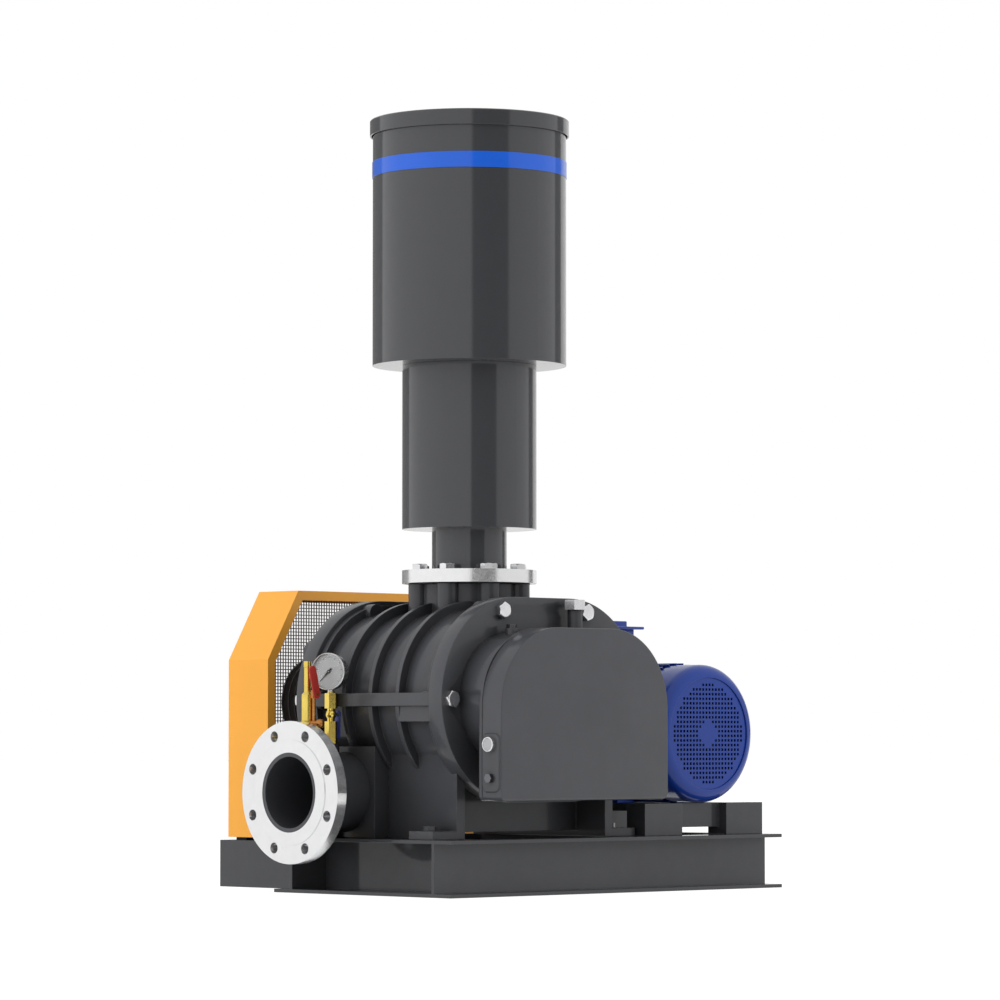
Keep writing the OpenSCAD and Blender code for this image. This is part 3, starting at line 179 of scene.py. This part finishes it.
def paint(name, colour, rough, mottle=0.07, grain=900.0, depth=0.15, height=0.0002, edge=0.0015, wear_and_highlight=0.25,
          gloss=0.2, coat=1.0, coat_rough=0.08, shade_reach=0.0):
    """Paint over metal: slow mottling, orange peel or casting grain, edges lightened by wear and a painted highlight,
    painted shade in recesses and a glossy top coat.

    The edge wear sets how much worn edges lighten, partly as a painted highlight. The shade reach is how far from a
    surface, in metres, others darken it with painted shade.
    """
    # Whiteness of worn, highlighted edges; colour share left in painted shade; openness below which that shade is full
    wear_and_highlight_to_white, shade_share, full_shade_below = 0.35, 0.42, 0.3
    n = Nodes(name)
    base = n.mix(n.remap(n.noise(7.0, 4.0), 0.0, 1.0), scaled(colour, 1 - mottle), scaled(colour, 1 + mottle))
    patches = n.remap(n.noise(60.0, 5.0), 0.0, wear_and_highlight, 0.45, 0.7)
    # Worn paint lightens rubbed edges, and the same lightening is also a painted highlight along every edge
    edge_wear_and_highlight = add_node(n.tree, "ShaderNodeMath", n.edge_mask(edge * 0.8), patches, operation="MULTIPLY")
    light = tuple(c + wear_and_highlight_to_white * (1 - c) for c in colour[:3]) + (1.0,)
    base = n.mix(edge_wear_and_highlight.outputs[0], base, light)
    # Painted shade: the colour darkens where nearby surfaces close it in, as shade falls in recesses
    if shade_reach:
        occlusion = n.tree.nodes.new("ShaderNodeAmbientOcclusion")
        occlusion.samples = 8
        occlusion.inputs["Distance"].default_value = shade_reach
        unshaded = n.remap(occlusion.outputs["AO"], 0.0, 1.0, full_shade_below, 1.0)
        base = n.mix(unshaded, scaled(colour, shade_share), base)
    n.set(Base_Color=base, Roughness=n.remap(n.noise(35.0, 3.0), rough - 0.05, rough + 0.06))
    n.set(Specular_IOR_Level=gloss, Coat_Weight=coat, Coat_Roughness=coat_rough)
    rounded = n.round_edges(edge)
    n.set(Normal=n.bump(n.noise(grain, 2.0), depth, height, rounded), Coat_Normal=rounded)
    return n.material


def metal(name, colour, rough, brushed=None, grain=400.0, tarnish=0.12, bare=1.0):
    """Bare or plated metal with a directional brush and slight tarnish."""
    n = Nodes(name)
    base = n.mix(n.remap(n.noise(40.0, 4.0), 0.0, 1.0), scaled(colour, 1 - tarnish), colour)
    n.set(Base_Color=base, Metallic=bare)
    streaks = n.noise(grain, 2.0, brushed)
    n.set(Roughness=n.remap(streaks, rough - 0.07, rough + 0.09))
    n.set(Normal=n.bump(streaks, 0.08, 0.0001, n.round_edges(0.6 * MM)))
    return n.material


def moulded(name, colour, rough, depth=0.1):
    """Plastic or rubber with a fine moulded grain."""
    n = Nodes(name)
    base = n.mix(n.remap(n.noise(30.0, 3.0), 0.0, 1.0), scaled(colour, 0.92), scaled(colour, 1.08))
    n.set(Base_Color=base, Roughness=n.remap(n.noise(80.0), rough - 0.05, rough + 0.05), Specular_IOR_Level=0.5)
    n.set(Normal=n.bump(n.noise(1200.0, 2.0), depth, 0.0001, n.round_edges(0.8 * MM)))
    return n.material


def clear_glass(name):
    """Thin flat pane: an IOR near 1 keeps what is behind it in place."""
    n = Nodes(name)
    n.set(Base_Color=grey(1.0), Roughness=0.03, Transmission_Weight=1.0, IOR=1.08, Specular_IOR_Level=0.6)
    n.set(Normal=n.bump(n.noise(25.0, 2.0), 0.02, 0.0001))
    return n.material


def pleated(name, colour):
    """Filter paper folded round the tube: one line of painted shade in each fold's valley."""
    n = Nodes(name)
    wave = n.tree.nodes.new("ShaderNodeTexWave")
    wave.inputs["Scale"].default_value = 40.0
    n.link(n.place, wave.inputs["Vector"])
    n.set(Base_Color=n.mix(wave.outputs["Fac"], scaled(colour, 0.6), colour), Roughness=0.9)
    n.set(Normal=n.bump(wave.outputs["Fac"], 0.5, 0.002))
    return n.material


CHARCOAL = srgb(58, 59, 62)
FINISH = {
    "frame_paint": paint("frame_paint", CHARCOAL, 0.5, grain=700.0, depth=0.1, coat=0.7),
    # The casing: painted shade in its recesses, and worn edges that also carry a painted highlight
    "casing_paint": paint("casing_paint", srgb(70, 71, 75), 0.5, grain=420.0, depth=0.3, height=0.0004, edge=0.0025,
                          wear_and_highlight=0.3, coat=0.55, coat_rough=0.16, shade_reach=0.12),
    "silencer_paint": paint("silencer_paint", CHARCOAL, 0.42, mottle=0.02, grain=500.0, depth=0.05, edge=0.0012,
                            wear_and_highlight=0.12),
    "guard_orange": paint("guard_orange", srgb(250, 174, 60), 0.42, mottle=0.02, depth=0.05, edge=0.0012, wear_and_highlight=0.1,
                          coat=0.5),
    "motor_blue": paint("motor_blue", srgb(17, 55, 142), 0.36, mottle=0.04, depth=0.1, wear_and_highlight=0.08, gloss=0.15,
                        coat=0.6),
    "band_blue": paint("band_blue", srgb(20, 94, 212), 0.38, mottle=0.02, depth=0.04, edge=0.0008, wear_and_highlight=0.1, coat=0.7),
    "bright_steel": metal("bright_steel", srgb(242, 242, 244), 0.18, (1.0, 1.0, 6.0)),
    "flange_steel": metal("flange_steel", srgb(242, 242, 243), 0.18, (1.0, 4.0, 1.0), grain=250.0, tarnish=0.04,
                          bare=0.85),
    "dark_steel": metal("dark_steel", srgb(120, 121, 125), 0.24),
    "gauge_metal": metal("gauge_metal", srgb(222, 222, 222), 0.22, (1.0, 1.0, 3.0)),
    "machined_iron": metal("machined_iron", srgb(150, 152, 156), 0.38, (6.0, 1.0, 1.0)),
    "perforated_steel": metal("perforated_steel", srgb(170, 172, 175), 0.4),
    "guard_wire": paint("guard_wire", srgb(88, 78, 72), 0.5, edge=0.0003, wear_and_highlight=0.1),
    "brass_fittings": metal("brass_fittings", srgb(250, 220, 112), 0.14, (3.0, 3.0, 1.0), tarnish=0.15),
    "copper_fittings": metal("copper_fittings", srgb(205, 140, 78), 0.28, (3.0, 3.0, 1.0), tarnish=0.25),
    "copper_winding": metal("copper_winding", srgb(184, 110, 60), 0.35, (0.5, 6.0, 6.0)),
    "pulley_iron": paint("pulley_iron", srgb(60, 62, 64), 0.45, grain=500.0, edge=0.001),
    "rubber_black": moulded("rubber_black", srgb(34, 34, 35), 0.75),
    "black_plastic": moulded("black_plastic", srgb(38, 38, 40), 0.45),
    "lever_red": moulded("lever_red", srgb(176, 48, 40), 0.4),
    "lever_blue": moulded("lever_blue", srgb(44, 60, 148), 0.4),
    "needle_black": moulded("needle_black", srgb(24, 24, 26), 0.4),
    "dial_face": moulded("dial_face", srgb(178, 179, 181), 0.6, depth=0.02),
    "glass_clear": clear_glass("glass_clear"),
    "filter_media": pleated("filter_media", srgb(214, 206, 178)),
}
# Nodes whose finish differs from the one of their slot
NODE_FINISH = {"oil_plugs": "dark_steel", "hold_down_bolts": "frame_paint",
               "silencer_pipe": "silencer_paint", "silencer_lid": "silencer_paint",
               "silencer_lower_shell": "silencer_paint", "silencer_upper_shell": "silencer_paint"}


def dress_nodes():
    """Gives each CAD node the finish of its material slot."""
    for name, node in frame["nodes"].items():
        finish = FINISH[NODE_FINISH.get(name, slot_of_node[name])]
        if not node.material_slots:
            node.data.materials.append(finish)
        for slot in node.material_slots:
            slot.material = finish


# Pieces

CREASE = 35.0
MERGE = 0.01 * MM
SQUARE = ((-1, -1), (1, -1), (1, 1), (-1, 1))


def add_piece(name, bm, like, replaces=(), finish=None, smooth=CREASE, slot=None):
    """Turns a bmesh into a named piece with the body and, unless one is given, the slot of a CAD node like it."""
    mesh = bpy.data.meshes.new(name)
    bm.to_mesh(mesh)
    bm.free()
    piece = bpy.data.objects.new(name, mesh)
    bpy.context.collection.objects.link(piece)
    slot = slot or slot_of_node[like]
    mesh.materials.append(FINISH[finish or slot])
    if smooth:
        mesh.shade_smooth()
        mesh.set_sharp_from_angle(angle=math.radians(smooth))
    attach(piece, body_of_node[like])
    if replaces:
        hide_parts(*replaces)


def mm(*points):
    """Profile points given in millimetres."""
    return [(a * MM, b * MM) for a, b in points]


def node_mesh(node):
    """A CAD node's mesh as a bmesh of its own, with its corners joined."""
    bm = bmesh.new()
    bm.from_mesh(frame["nodes"][node].data)
    bmesh.ops.remove_doubles(bm, verts=bm.verts, dist=MERGE)
    return bm


def soften(node, width, segments=3):
    """A copy of a CAD node with its sharp edges really rounded, which stands for the node."""
    flat, sharp = math.radians(0.6), math.radians(30.0)
    bm = node_mesh(node)
    bmesh.ops.dissolve_limit(bm, angle_limit=flat, verts=bm.verts, edges=bm.edges)
    edges = [e for e in bm.edges if len(e.link_faces) == 2 and e.calc_face_angle(0.0) > sharp]
    bmesh.ops.bevel(bm, geom=edges, offset=width, segments=segments, profile=0.5, affect="EDGES",
                    clamp_overlap=True, harden_normals=False)
    add_piece(node + "_rounded", bm, node, [node])


def strip(bm, a, b, across, up):
    """A square wire from a to b with half widths across and up as vectors."""
    rings = [[bm.verts.new(end + s * across + t * up) for s, t in SQUARE] for end in (Vector(a), Vector(b))]
    for k in range(4):
        bm.faces.new((rings[0][k], rings[0][(k + 1) % 4], rings[1][(k + 1) % 4], rings[1][k]))
    bm.faces.new(rings[0][::-1])
    bm.faces.new(rings[1])


def wire_mesh():
    """Woven square mesh of the guard's open side, cut to the sheet band's outline."""
    low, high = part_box("guard_mesh")
    pitch, half = 7.3 * MM, 0.95 * MM
    # The band's two sloped corners, a little inside the sheet
    drop, run = 147 * MM, 85.6 * MM
    x = (low.x + high.x) / 2
    thick = Vector((half, 0, 0))
    bm = bmesh.new()

    def top_at(y):
        inward = min(y - low.y, high.y - y)
        return high.z - drop * max(0.0, 1 - inward / run)

    def inset_at(z):
        return run * max(0.0, (z - (high.z - drop)) / drop)

    count = int((high.y - low.y) / pitch)
    for i in range(1, count):
        y = low.y + (high.y - low.y) * i / count
        strip(bm, (x - half, y, low.z), (x - half, y, top_at(y)), thick, Vector((0, half, 0)))
    count = int((high.z - low.z) / pitch)
    for j in range(1, count):
        z = low.z + (high.z - low.z) * j / count
        inset = inset_at(z)
        strip(bm, (x + half, low.y + inset, z), (x + half, high.y - inset, z), thick, Vector((0, 0, half)))
    add_piece("guard_wires", bm, "guard_mesh", ["guard_mesh"], smooth=None)


def islands(node):
    """Lowest and highest corner of every separate solid in a CAD node."""
    bm = node_mesh(node)
    left, boxes = set(bm.verts), []
    while left:
        grown, group = [left.pop()], []
        while grown:
            vert = grown.pop()
            group.append(vert.co.copy())
            for edge in vert.link_edges:
                other = edge.other_vert(vert)
                if other in left:
                    left.remove(other)
                    grown.append(other)
        boxes.append((Vector(map(min, *group)), Vector(map(max, *group))))
    bm.free()
    return sorted(boxes, key=lambda box: tuple(round(v, 4) for v in box[0]))


def aim(place, axis, spin=0.0):
    """Matrix that puts local +Z along axis at place."""
    turn = Vector(axis).to_track_quat("Z", "Y").to_matrix().to_4x4()
    return Matrix.Translation(place) @ turn @ Matrix.Rotation(spin, 4, "Z")


def lathe(bm, profile, matrix, steps=48, reshape=None):
    """Revolves (r, z) points round local Z. reshape(r, z, angle, level) may move a ring's points."""
    rings = []
    for level, (r, z) in enumerate(profile):
        if r < 1e-6:
            rings.append([bm.verts.new(matrix @ Vector((0, 0, z)))])
            continue
        ring = []
        for k in range(steps):
            angle = 2 * math.pi * k / steps
            around, height = (r, z) if reshape is None else reshape(r, z, angle, level)
            ring.append(bm.verts.new(matrix @ Vector((around * math.cos(angle), around * math.sin(angle), height))))
        rings.append(ring)
    for a, b in zip(rings, rings[1:]):
        for k in range(steps):
            m = (k + 1) % steps
            corners = [a[k % len(a)], a[m % len(a)], b[m % len(b)], b[k % len(b)]]
            corners = [v for i, v in enumerate(corners) if v not in corners[:i]]
            if len(corners) > 2:
                bm.faces.new(corners)


def hex_head(bm, matrix, flats, height):
    """Bolt head with its turned chamfer."""
    half = flats / 2
    crown, slope = half * 0.94, 0.55
    corner_levels, top_corners = (1, 2), 2

    def six_sided(r, z, angle, level):
        if level not in corner_levels:
            return r, z
        lean = (angle + math.pi / 6) % (math.pi / 3) - math.pi / 6
        around = half / math.cos(lean)
        return around, (z - (around - crown) * slope if level == top_corners else z)

    lathe(bm, [(0, 0), (half, 0), (half, height), (crown, height), (crown * 0.8, height), (0, height)],
          matrix, 36, six_sided)


def bolts(node, axis_of, flats, height, name):
    """Chamfered bolts in place of a node's plain ones; each shank stays inside its hole."""
    bm = bmesh.new()
    for k, (low, high) in enumerate(islands(node)):
        place = (low + high) / 2
        axis = Vector(axis_of(place))
        along = max(range(3), key=lambda i: abs(axis[i]))
        face = high[along] if axis[along] > 0 else low[along]
        shank = high[along] - low[along] - height
        place[along] = face - axis[along] * height
        hex_head(bm, aim(place, axis, 0.4 * k), flats, height)
        lathe(bm, [(0, 0), (flats * 0.27, 0), (flats * 0.27, shank), (0, shank)], aim(place - axis * shank, axis), 16)
    add_piece(name, bm, node, [node])


def gauge():
    """Round gauge: turned case with a bezel, dial plate with its boss, and scale; lens and needle are CAD's."""
    swing = next(row for row in record["behaviour"]["joints"] if row["name"] == "gauge_needle_swing")
    pivot, axis = Vector(swing["pos_m"]), Vector(swing["axis"])
    face = aim(pivot, axis)
    low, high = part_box("gauge_lens")
    radius = (high.z - low.z) / 2 + 2.05 * MM
    front = ((low + high) / 2 - pivot).dot(axis) + 1.6 * MM

    # Millimetres in from the rim and back from the front
    outline = ((6, 24), (3, 23), (1.2, 21), (1.2, 7), (0.2, 6.6), (0, 6), (0, 1.2), (0.5, 0.3), (1.2, 0), (2, 0.3),
               (2.3, 0.6), (2.1, 2.6), (2.1, 8))
    turned = [(radius - r * MM, front - z * MM) for r, z in outline]
    bm = bmesh.new()
    lathe(bm, [(0, turned[0][1])] + turned + [(0, turned[-1][1])], face, 72)
    case_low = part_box("gauge_case")[0].z
    stem = pivot.z - radius - case_low + 5 * MM
    lathe(bm, [(0, 0), (7 * MM, 0), (7 * MM, stem), (0, stem)], aim(Vector((pivot.x, pivot.y, case_low)), (0, 0, 1)),
          32)
    add_piece("gauge_bezel", bm, "gauge_case", ["gauge_case"])

    dial, plate, boss = front - 6.8 * MM, 1.2 * MM, 3.6 * MM
    bm = bmesh.new()
    rim = radius - 2.2 * MM
    lathe(bm, [(0, dial - plate), (rim, dial - plate), (rim, dial), (0, dial)], face, 64)
    lathe(bm, [(0, dial), (1.3 * MM, dial), (1.3 * MM, dial + boss), (0, dial + boss)], face, 24)
    add_piece("gauge_dial_plate", bm, "gauge_dial", ["gauge_dial"])

    ticks, first, sweep, raised = 50, 225, 270, 0.08 * MM
    outer = radius - 7 * MM
    bm = bmesh.new()
    for k in range(ticks + 1):
        turn = face @ Matrix.Rotation(math.radians(first - sweep * k / ticks), 4, "Z")
        inner = outer - (4.6 if k % 10 == 0 else 3.4 if k % 5 == 0 else 2.0) * MM
        half = (0.5 if k % 5 == 0 else 0.25) * MM
        corners = ((inner, -half), (outer, -half), (outer, half), (inner, half))
        bm.faces.new([bm.verts.new(turn @ Vector((x, y, dial + raised))) for x, y in corners])
    add_piece("gauge_scale", bm, "gauge_dial", smooth=None, slot="needle_black")


def fan_cowl():
    """Spun fan cowl with a rounded shoulder and a sunk grille plate of square holes round a closed hub."""
    low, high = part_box("fan_cowl")
    centre = Vector((0, (low.y + high.y) / 2, (low.z + high.z) / 2))
    axis = aim(centre, (1, 0, 0))
    outer, face, start = (high.z - low.z) / 2, high.x, low.x
    recess = outer - 27 * MM
    sheet, shoulder, sunk = 2.5 * MM, 26 * MM, 3 * MM
    back = face - sunk - 3 * MM
    steps = 8
    skin = [(outer, start)]
    for k in range(steps + 1):
        turn = math.pi / 2 * k / steps
        skin.append((outer - (outer - recess) * (1 - math.cos(turn)) * 0.96, face - shoulder * (1 - math.sin(turn))))
    inner = [(r - sheet * (0.6 if z > face - shoulder else 1.0), z - sheet * max(0.0, 1 - (face - z) / shoulder))
             for r, z in skin]
    skin += [(recess + 0.5 * MM, face), (recess, face - 0.5 * MM), (recess, back)]
    inner.append((recess + 1.5 * MM, back))
    bm = bmesh.new()
    lathe(bm, skin + inner[::-1] + [skin[0]], axis, 96)
    bmesh.ops.remove_doubles(bm, verts=bm.verts, dist=0.001 * MM)
    add_piece("fan_cowl_shell", bm, "fan_cowl", ["fan_cowl"])

    pitch, hole, cells, thick = 9.6 * MM, 5.3 * MM, 13, 2 * MM
    open_from, open_to, rim = 27 * MM, 10.65 * pitch, recess + 0.3 * MM
    places, panels = {}, []

    def panel(points):
        ring = []
        for x, y in points:
            reach = math.hypot(x, y)
            if reach > rim:
                x, y = x * rim / reach, y * rim / reach
            key = round(x * 1e5), round(y * 1e5)
            places.setdefault(key, (x, y))
            if key not in ring:
                ring.append(key)
        if len(ring) > 2:
            panels.append(ring)

    for i in range(-cells, cells):
        for j in range(-cells, cells):
            x, y = (i + 0.5) * pitch, (j + 0.5) * pitch
            reach = math.hypot(x, y)
            if reach > rim + pitch * 0.7:
                continue
            square, eye = ([(x + u * side / 2, y + v * side / 2) for u, v in SQUARE] for side in (pitch, hole))
            if not open_from < reach < open_to:
                panel(square)
                continue
            for k in range(4):
                panel([square[k], square[(k + 1) % 4], eye[(k + 1) % 4], eye[k]])

    bm = bmesh.new()
    sides = [list(zip(ring, ring[1:] + ring[:1])) for ring in panels]
    used = {key for ring in panels for key in ring}
    inside = {(b, a) for ring in sides for a, b in ring}
    front, rear = ({key: bm.verts.new(axis @ Vector((x, y, face - sunk - depth)))
                    for key, (x, y) in places.items() if key in used} for depth in (0, thick))
    for ring, edges in zip(panels, sides):
        bm.faces.new([front[key] for key in ring])
        bm.faces.new([rear[key] for key in reversed(ring)])
        for a, b in edges:
            if (a, b) not in inside:
                bm.faces.new((front[b], front[a], rear[a], rear[b]))
    add_piece("fan_grille", bm, "fan_cowl", smooth=None)


def wing_nuts():
    """Two wing nuts on studs that hold the silencer's lid down."""
    turned = mm((0, 0), (9, 0), (9, 1.5), (8, 2), (7.4, 2), (7, 8), (5.4, 11), (3.2, 11), (3.2, 17), (2.6, 18), (0, 18))
    outline = mm((5, -3.5), (9, -2.5), (14, 3), (17, 10), (16, 15), (12.5, 16), (9, 12), (5, 4))
    root, half, spin = 6 * MM, 1.8 * MM, math.radians(38)
    count = len(outline)
    bm = bmesh.new()
    for low, high in islands("lid_wing_nuts"):
        seat = Vector(((low.x + high.x) / 2, (low.y + high.y) / 2, low.z))
        lathe(bm, turned, aim(seat, (0, 0, 1)), 28)
        for side in (0.0, math.pi):
            wing = aim(seat + Vector((0, 0, root)), (0, 0, 1), spin + side)
            rings = [[bm.verts.new(wing @ Vector((x, t, z))) for x, z in outline] for t in (-half, half)]
            bm.faces.new(rings[0])
            bm.faces.new(rings[1][::-1])
            for k in range(count):
                bm.faces.new((rings[0][(k + 1) % count], rings[0][k], rings[1][k], rings[1][(k + 1) % count]))
    bmesh.ops.recalc_face_normals(bm, faces=bm.faces)
    add_piece("wing_nuts", bm, "lid_wing_nuts", ["lid_wing_nuts"], "gauge_metal")


def sight_glass():
    """Oil level eye: a turned ring round a flat glass with the milky oil behind it."""
    low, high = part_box("sight_glass")
    depth, radius = high.y - low.y, (high.z - low.z) / 2
    seat = aim(Vector(((low.x + high.x) / 2, high.y, (low.z + high.z) / 2)), (0, -1, 0))
    ring, pane = bmesh.new(), bmesh.new()
    lathe(ring, [(0, 0), (radius, 0), (radius, depth - MM), (radius - MM, depth), (radius - 2.4 * MM, depth),
                 (radius - 3 * MM, depth - 1.2 * MM), (radius - 3 * MM, depth - 3 * MM), (0, depth - 3 * MM)],
          seat, 40)
    lathe(pane, [(0, depth - 3.2 * MM), (radius - 3.1 * MM, depth - 3.2 * MM),
                 (radius - 3.1 * MM, depth - 1.6 * MM), (0, depth - 1.4 * MM)], seat, 32)
    add_piece("sight_ring", ring, "sight_glass", ["sight_glass"], "bright_steel")
    add_piece("sight_pane", pane, "sight_glass", finish="dial_face")


# Stage, light and camera

FLOOR_HALF = 40.0
# Keeps the floor from flickering through the base's underside
FLOOR_DROP = 0.5 * MM


def add_floor():
    """White floor that meets the background: soft shadow for the camera, an even bright sheet in reflections."""
    bm = bmesh.new()
    bmesh.ops.create_grid(bm, x_segments=1, y_segments=1, size=FLOOR_HALF)
    mesh = bpy.data.meshes.new("floor")
    bm.to_mesh(mesh)
    bm.free()
    floor = bpy.data.objects.new("floor", mesh)
    floor.location.z = -FLOOR_DROP
    bpy.context.collection.objects.link(floor)
    material = bpy.data.materials.new("floor_white")
    material.use_nodes = True
    tree = material.node_tree
    tree.nodes.clear()
    path = add_node(tree, "ShaderNodeLightPath")
    shaded = add_node(tree, "ShaderNodeBsdfDiffuse", grey(0.86))
    glow = add_node(tree, "ShaderNodeEmission", grey(1.0), 1.3)
    seen = add_node(tree, "ShaderNodeMixShader", 0.72, shaded.outputs[0], glow.outputs[0])
    dull = add_node(tree, "ShaderNodeBsdfDiffuse", grey(0.7))
    sheen = add_node(tree, "ShaderNodeEmission", None, 0.9)
    bounced = add_node(tree, "ShaderNodeMixShader", path.outputs["Is Glossy Ray"], dull.outputs[0], sheen.outputs[0])
    mixed = add_node(tree, "ShaderNodeMixShader", path.outputs["Is Camera Ray"], bounced.outputs[0], seen.outputs[0])
    add_node(tree, "ShaderNodeOutputMaterial", mixed.outputs[0])
    mesh.materials.append(material)


# Brightness that glossy surfaces mirror, by degrees to the right of the camera as the object sees it
STUDIO = ((-180, 0.22), (-128, 0.22), (-125, 1.0), (2, 0.95), (5, 0.02), (46, 0.02), (49, 0.72), (122, 0.8),
          (125, 0.1), (139, 0.1), (142, 0.9), (180, 0.9))
# The ceiling's brightness, and the slopes between which it takes over from the panels
CEILING = 0.85
CEILING_FROM, CEILING_TO = 0.2, 0.34


def camera_axes():
    """Level directions to the right of the camera's view and from the object towards the camera."""
    angle = math.radians(CAMERA_AZIMUTH)
    return (math.cos(angle), math.sin(angle), 0.0), (math.sin(angle), -math.cos(angle), 0.0)


def light_world(level):
    """Even ambient light, plain white to the camera; glossy surfaces mirror the studio's panels, gaps and ceiling."""
    world = bpy.data.worlds.new("studio")
    bpy.context.scene.world = world
    world.use_nodes = True
    tree = world.node_tree
    tree.nodes.clear()
    towards = add_node(tree, "ShaderNodeTexCoord").outputs["Generated"]
    right, near = (add_node(tree, "ShaderNodeVectorMath", towards, way, operation="DOT_PRODUCT").outputs["Value"]
                   for way in camera_axes())
    azimuth = add_node(tree, "ShaderNodeMath", right, near, operation="ARCTAN2")
    share = add_node(tree, "ShaderNodeMapRange", azimuth.outputs[0], -math.pi, math.pi, 0.0, 1.0)
    ramp = add_node(tree, "ShaderNodeValToRGB", share.outputs[0])
    stops = ramp.color_ramp.elements
    stops.remove(stops[1])
    for k, (degrees, bright) in enumerate(STUDIO):
        stop = stops[0] if k == 0 else stops.new((degrees + 180) / 360)
        stop.position = (degrees + 180) / 360
        stop.color = grey(bright)
    height = add_node(tree, "ShaderNodeSeparateXYZ", towards)
    above = add_node(tree, "ShaderNodeMapRange", height.outputs[2], CEILING_FROM, CEILING_TO, 0.0, 1.0)
    overhead = add_node(tree, "ShaderNodeMix", above.outputs[0], None, ramp.outputs[0], CEILING)
    path = add_node(tree, "ShaderNodeLightPath")
    plain = add_node(tree, "ShaderNodeMath", path.outputs["Is Camera Ray"], path.outputs["Is Transmission Ray"],
                     operation="MAXIMUM")
    ambient = add_node(tree, "ShaderNodeMapRange", plain.outputs[0], 0.0, 1.0, level, 1.0)
    mirrored = add_node(tree, "ShaderNodeMix", path.outputs["Is Glossy Ray"], None, ambient.outputs[0],
                        overhead.outputs[0])
    background = add_node(tree, "ShaderNodeBackground", grey(1.0), mirrored.outputs[0])
    add_node(tree, "ShaderNodeOutputWorld", background.outputs[0])


# Each lamp's place to the right, near and up as the camera sees it, its size and its watts
LAMPS = {
    "left_softbox": ((-5.0, 2.5, 0.4), (3.0, 4.0), 112.0),
    "right_softbox": ((4.5, 2.0, 0.0), (3.0, 3.0), 80.0),
    "low_softbox": ((-3.2, 3.4, -0.5), (2.5, 1.0), 16.0),
    "top_softbox": ((-0.5, 0.6, 4.5), (3.0, 3.0), 40.0),
}
LAMP_TARGET = Vector((-0.1, 0.0, 0.75))


def softbox(name, offset, size, watts):
    """An area light aimed at the middle of the object, which neither mirrors nor shows to the camera."""
    axes = [Vector(axis) for axis in camera_axes()] + [Vector((0, 0, 1))]
    place = LAMP_TARGET + sum((axis * step for axis, step in zip(axes, offset)), Vector())
    data = bpy.data.lights.new(name, "AREA")
    data.shape = "RECTANGLE"
    data.size, data.size_y = size
    data.energy = watts
    light = bpy.data.objects.new(name, data)
    light.visible_glossy = False
    light.visible_camera = False
    light.location = place
    light.rotation_euler = (LAMP_TARGET - place).to_track_quat("-Z", "Y").to_euler()
    bpy.context.collection.objects.link(light)


def add_camera():
    data = bpy.data.cameras.new("camera")
    data.lens = CAMERA_LENS
    data.sensor_width = SENSOR_WIDTH
    data.clip_end = 100.0
    camera = bpy.data.objects.new("camera", data)
    camera.location = CAMERA_PLACE
    camera.rotation_euler = (math.radians(90 + CAMERA_PITCH), 0.0, math.radians(CAMERA_AZIMUTH))
    bpy.context.collection.objects.link(camera)
    bpy.context.scene.camera = camera


# Width and steps of the rounded edges of castings, covers and levers
ROUNDED = {"gear_cover": (5.0, 4), "gear_housing": (2.5, 3), "end_plates": (2.0, 3), "vent_lever": (1.2, 3),
           "cock_lever": (1.2, 3), "terminal_box": (2.5, 3), "terminal_lid": (2.0, 3)}

bpy.context.scene.view_settings.view_transform = "Standard"
add_camera()
add_floor()
light_world(0.72)
for lamp, (offset, size, watts) in LAMPS.items():
    softbox(lamp, offset, size, watts)

dress_nodes()
wire_mesh()
gauge()
fan_cowl()
wing_nuts()
sight_glass()
bolts("casing_bolts", lambda c: (math.copysign(1, c.x), 0, 0), 30 * MM, 13 * MM, "casing_hex_bolts")
bolts("flange_bolts", lambda c: (0, 0, 1), 30 * MM, 12 * MM, "flange_hex_bolts")
for node, (width, segments) in ROUNDED.items():
    soften(node, width * MM, segments)
